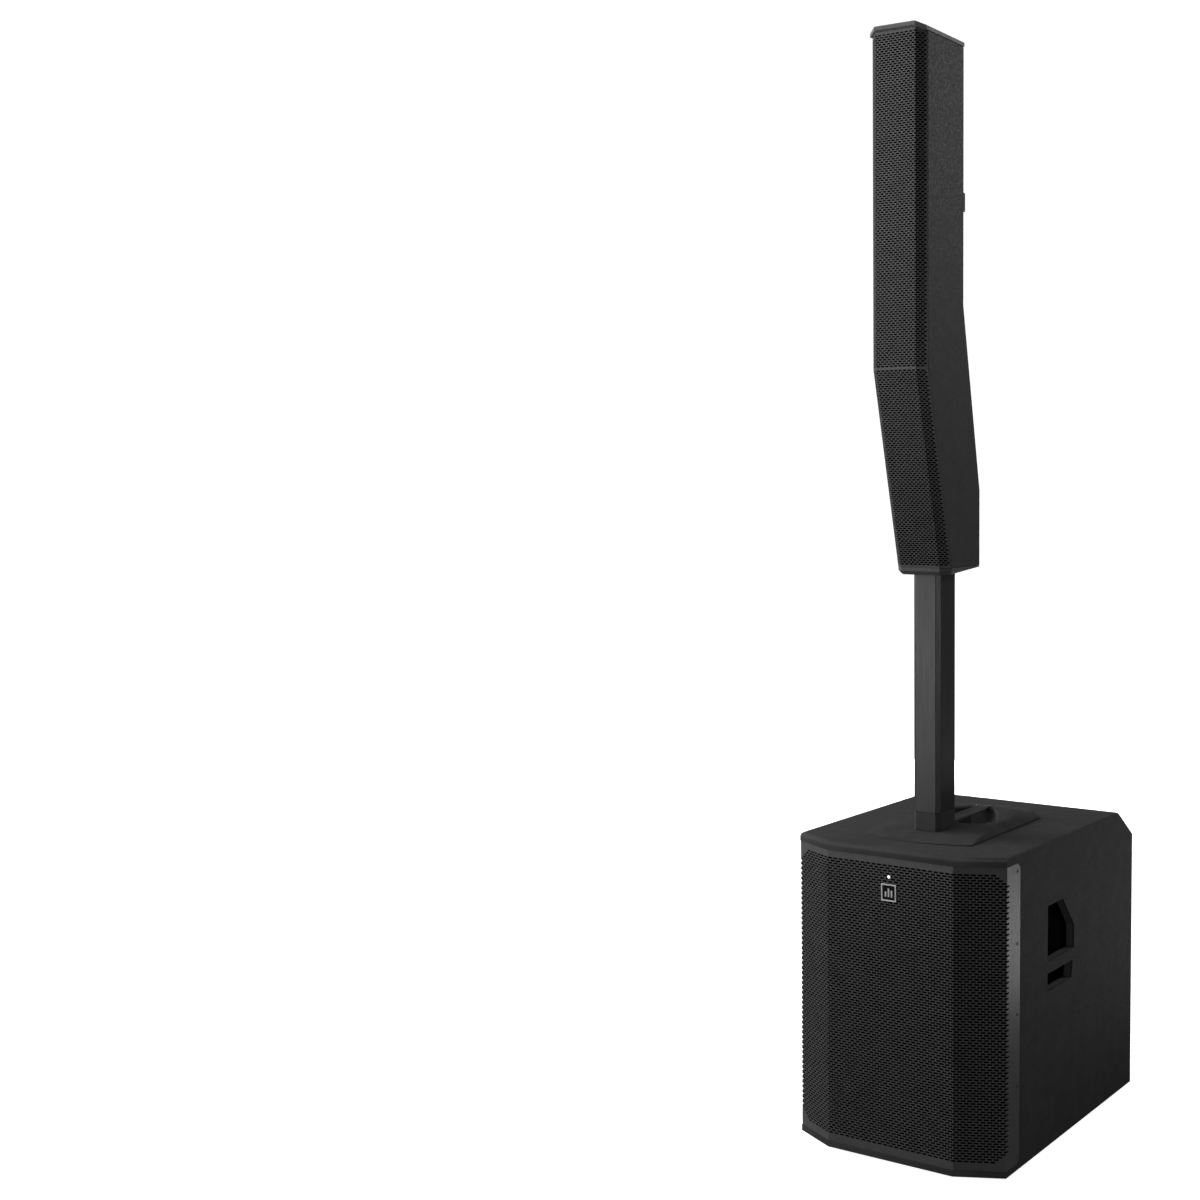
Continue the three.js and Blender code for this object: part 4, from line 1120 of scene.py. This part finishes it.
# Printing, which stands off the panel by its thickness.
PRINT_GAP = 0.02
INK = 0.12
INK_LINE = 0.7
FRAME_HALF_WIDTH = 23
FRAME_DROP = 22
CHANNEL_FRAME_RISE = 56  # round a socket and the level knob above it
LINK_FRAME_RISE = 22
SCALE_MARKS = 11
SCALE_STEP = 30  # degrees
SCALE_START = -60
SCALE_REACH = (2.5, 5)  # from the knob's side
LABEL_X = (20, 92)
LABEL_Z = (142, 178)
LABEL_THICK = 0.3

SIGNAL_LENS = ((0, 0), (1.8, 0), (1.8, 0.5), (1.3, 1.0), (0.6, 1.25), (0, 1.3))  # (radius, height)
SIGNAL_OFFSET = 16
BEZEL_WIDTH = 3.5
BEZEL_GAP = 0.3


def add_panel_screws():
    """The screws that hold the panel, and two in each socket's flange."""
    screws = bmesh.new()
    low, high = node_box(PANEL_NODE)
    for z in (low.z + PANEL_SCREW_MARGIN, (low.z + high.z) / 2, high.z - PANEL_SCREW_MARGIN):
        for side in (-1, 1):
            screw(screws, (side * PANEL_SCREW_X, PANEL_FACE_Y, z), OUTWARD, *PANEL_SCREW)
    for node in JACK_NODES:
        middle = node_middle(node)
        face = node_box(node)[1].y
        for side in (-1, 1):
            place = (middle.x + side * JACK_SCREW_X, face, middle.z - side * JACK_SCREW_Z)
            screw(screws, place, OUTWARD, *JACK_SCREW)
    piece("panel_screws", screws, "black_steel", "bass_cabinet")


def add_scale(bm, node, y0, y1):
    """Printed marks that point away from a knob."""
    low, high = node_box(node)
    middle = node_middle(node)
    radius = (high.x - low.x) / 2
    place = Vector((middle.x, middle.z))
    for i in range(SCALE_MARKS):
        angle = math.radians(SCALE_START + i * SCALE_STEP)
        out = Vector((math.cos(angle), math.sin(angle)))
        wide = Vector((-out.y, out.x)) * (INK_LINE / 2)
        start, end = (place + out * (radius + reach) for reach in SCALE_REACH)
        prism(bm, [start - wide, start + wide, end + wide, end - wide], y0, y1, "y")


def add_panel_print():
    """Frames round the sockets and controls, a scale round each knob, and a blank foil label."""
    ink = bmesh.new()
    y0, y1 = PANEL_FACE_Y + PRINT_GAP, PANEL_FACE_Y + INK
    for node in JACK_NODES:
        middle = node_middle(node)
        left, right = middle.x - FRAME_HALF_WIDTH, middle.x + FRAME_HALF_WIDTH
        rise = LINK_FRAME_RISE if node == "link_jack" else CHANNEL_FRAME_RISE
        rim(ink, left, right, middle.z - FRAME_DROP, middle.z + rise, INK_LINE, y0, y1)
    for node in KNOB_NODES:
        add_scale(ink, node, y0, y1)
    piece("panel_print", ink, "white_ink", "bass_cabinet", smooth=False)
    label = bmesh.new()
    box(label, *LABEL_X, y0, PANEL_FACE_Y + LABEL_THICK, *LABEL_Z)
    piece("panel_label", soften(label, 0.1, 1), "label_foil", "bass_cabinet")


def add_display_bezel():
    """A raised frame round the display."""
    low, high = node_box("display_window")
    x0, x1, z0, z1 = low.x - BEZEL_GAP, high.x + BEZEL_GAP, low.z - BEZEL_GAP, high.z + BEZEL_GAP
    bezel = bmesh.new()
    rim(bezel, x0, x1, z0, z1, -BEZEL_WIDTH, PANEL_FACE_Y + 0.1, high.y + 0.8)
    piece("display_bezel", soften(bezel, 0.5, 2), "moulded_plastic", "bass_cabinet")


def add_level_details(node):
    """A level knob's pointer, and the signal light beside the knob."""
    high = node_box(node)[1]
    middle = node_middle(node)
    mark = bmesh.new()
    x, z = middle.x, middle.z
    box(mark, x - 0.6, x + 0.6, high.y - 0.3, high.y + INK, z + 2.5, high.z - 1)
    piece(f"{node}_mark", mark, "white_ink", node, smooth=False)
    lens = bmesh.new()
    turned(lens, SIGNAL_LENS, (x + SIGNAL_OFFSET, PANEL_FACE_Y, z), segments=20)
    piece(f"{node}_signal", lens, "signal_green", "bass_cabinet")


add_panel_screws()
add_panel_print()
add_display_bezel()
add_level_details("level_knob_1")
add_level_details("level_knob_2")
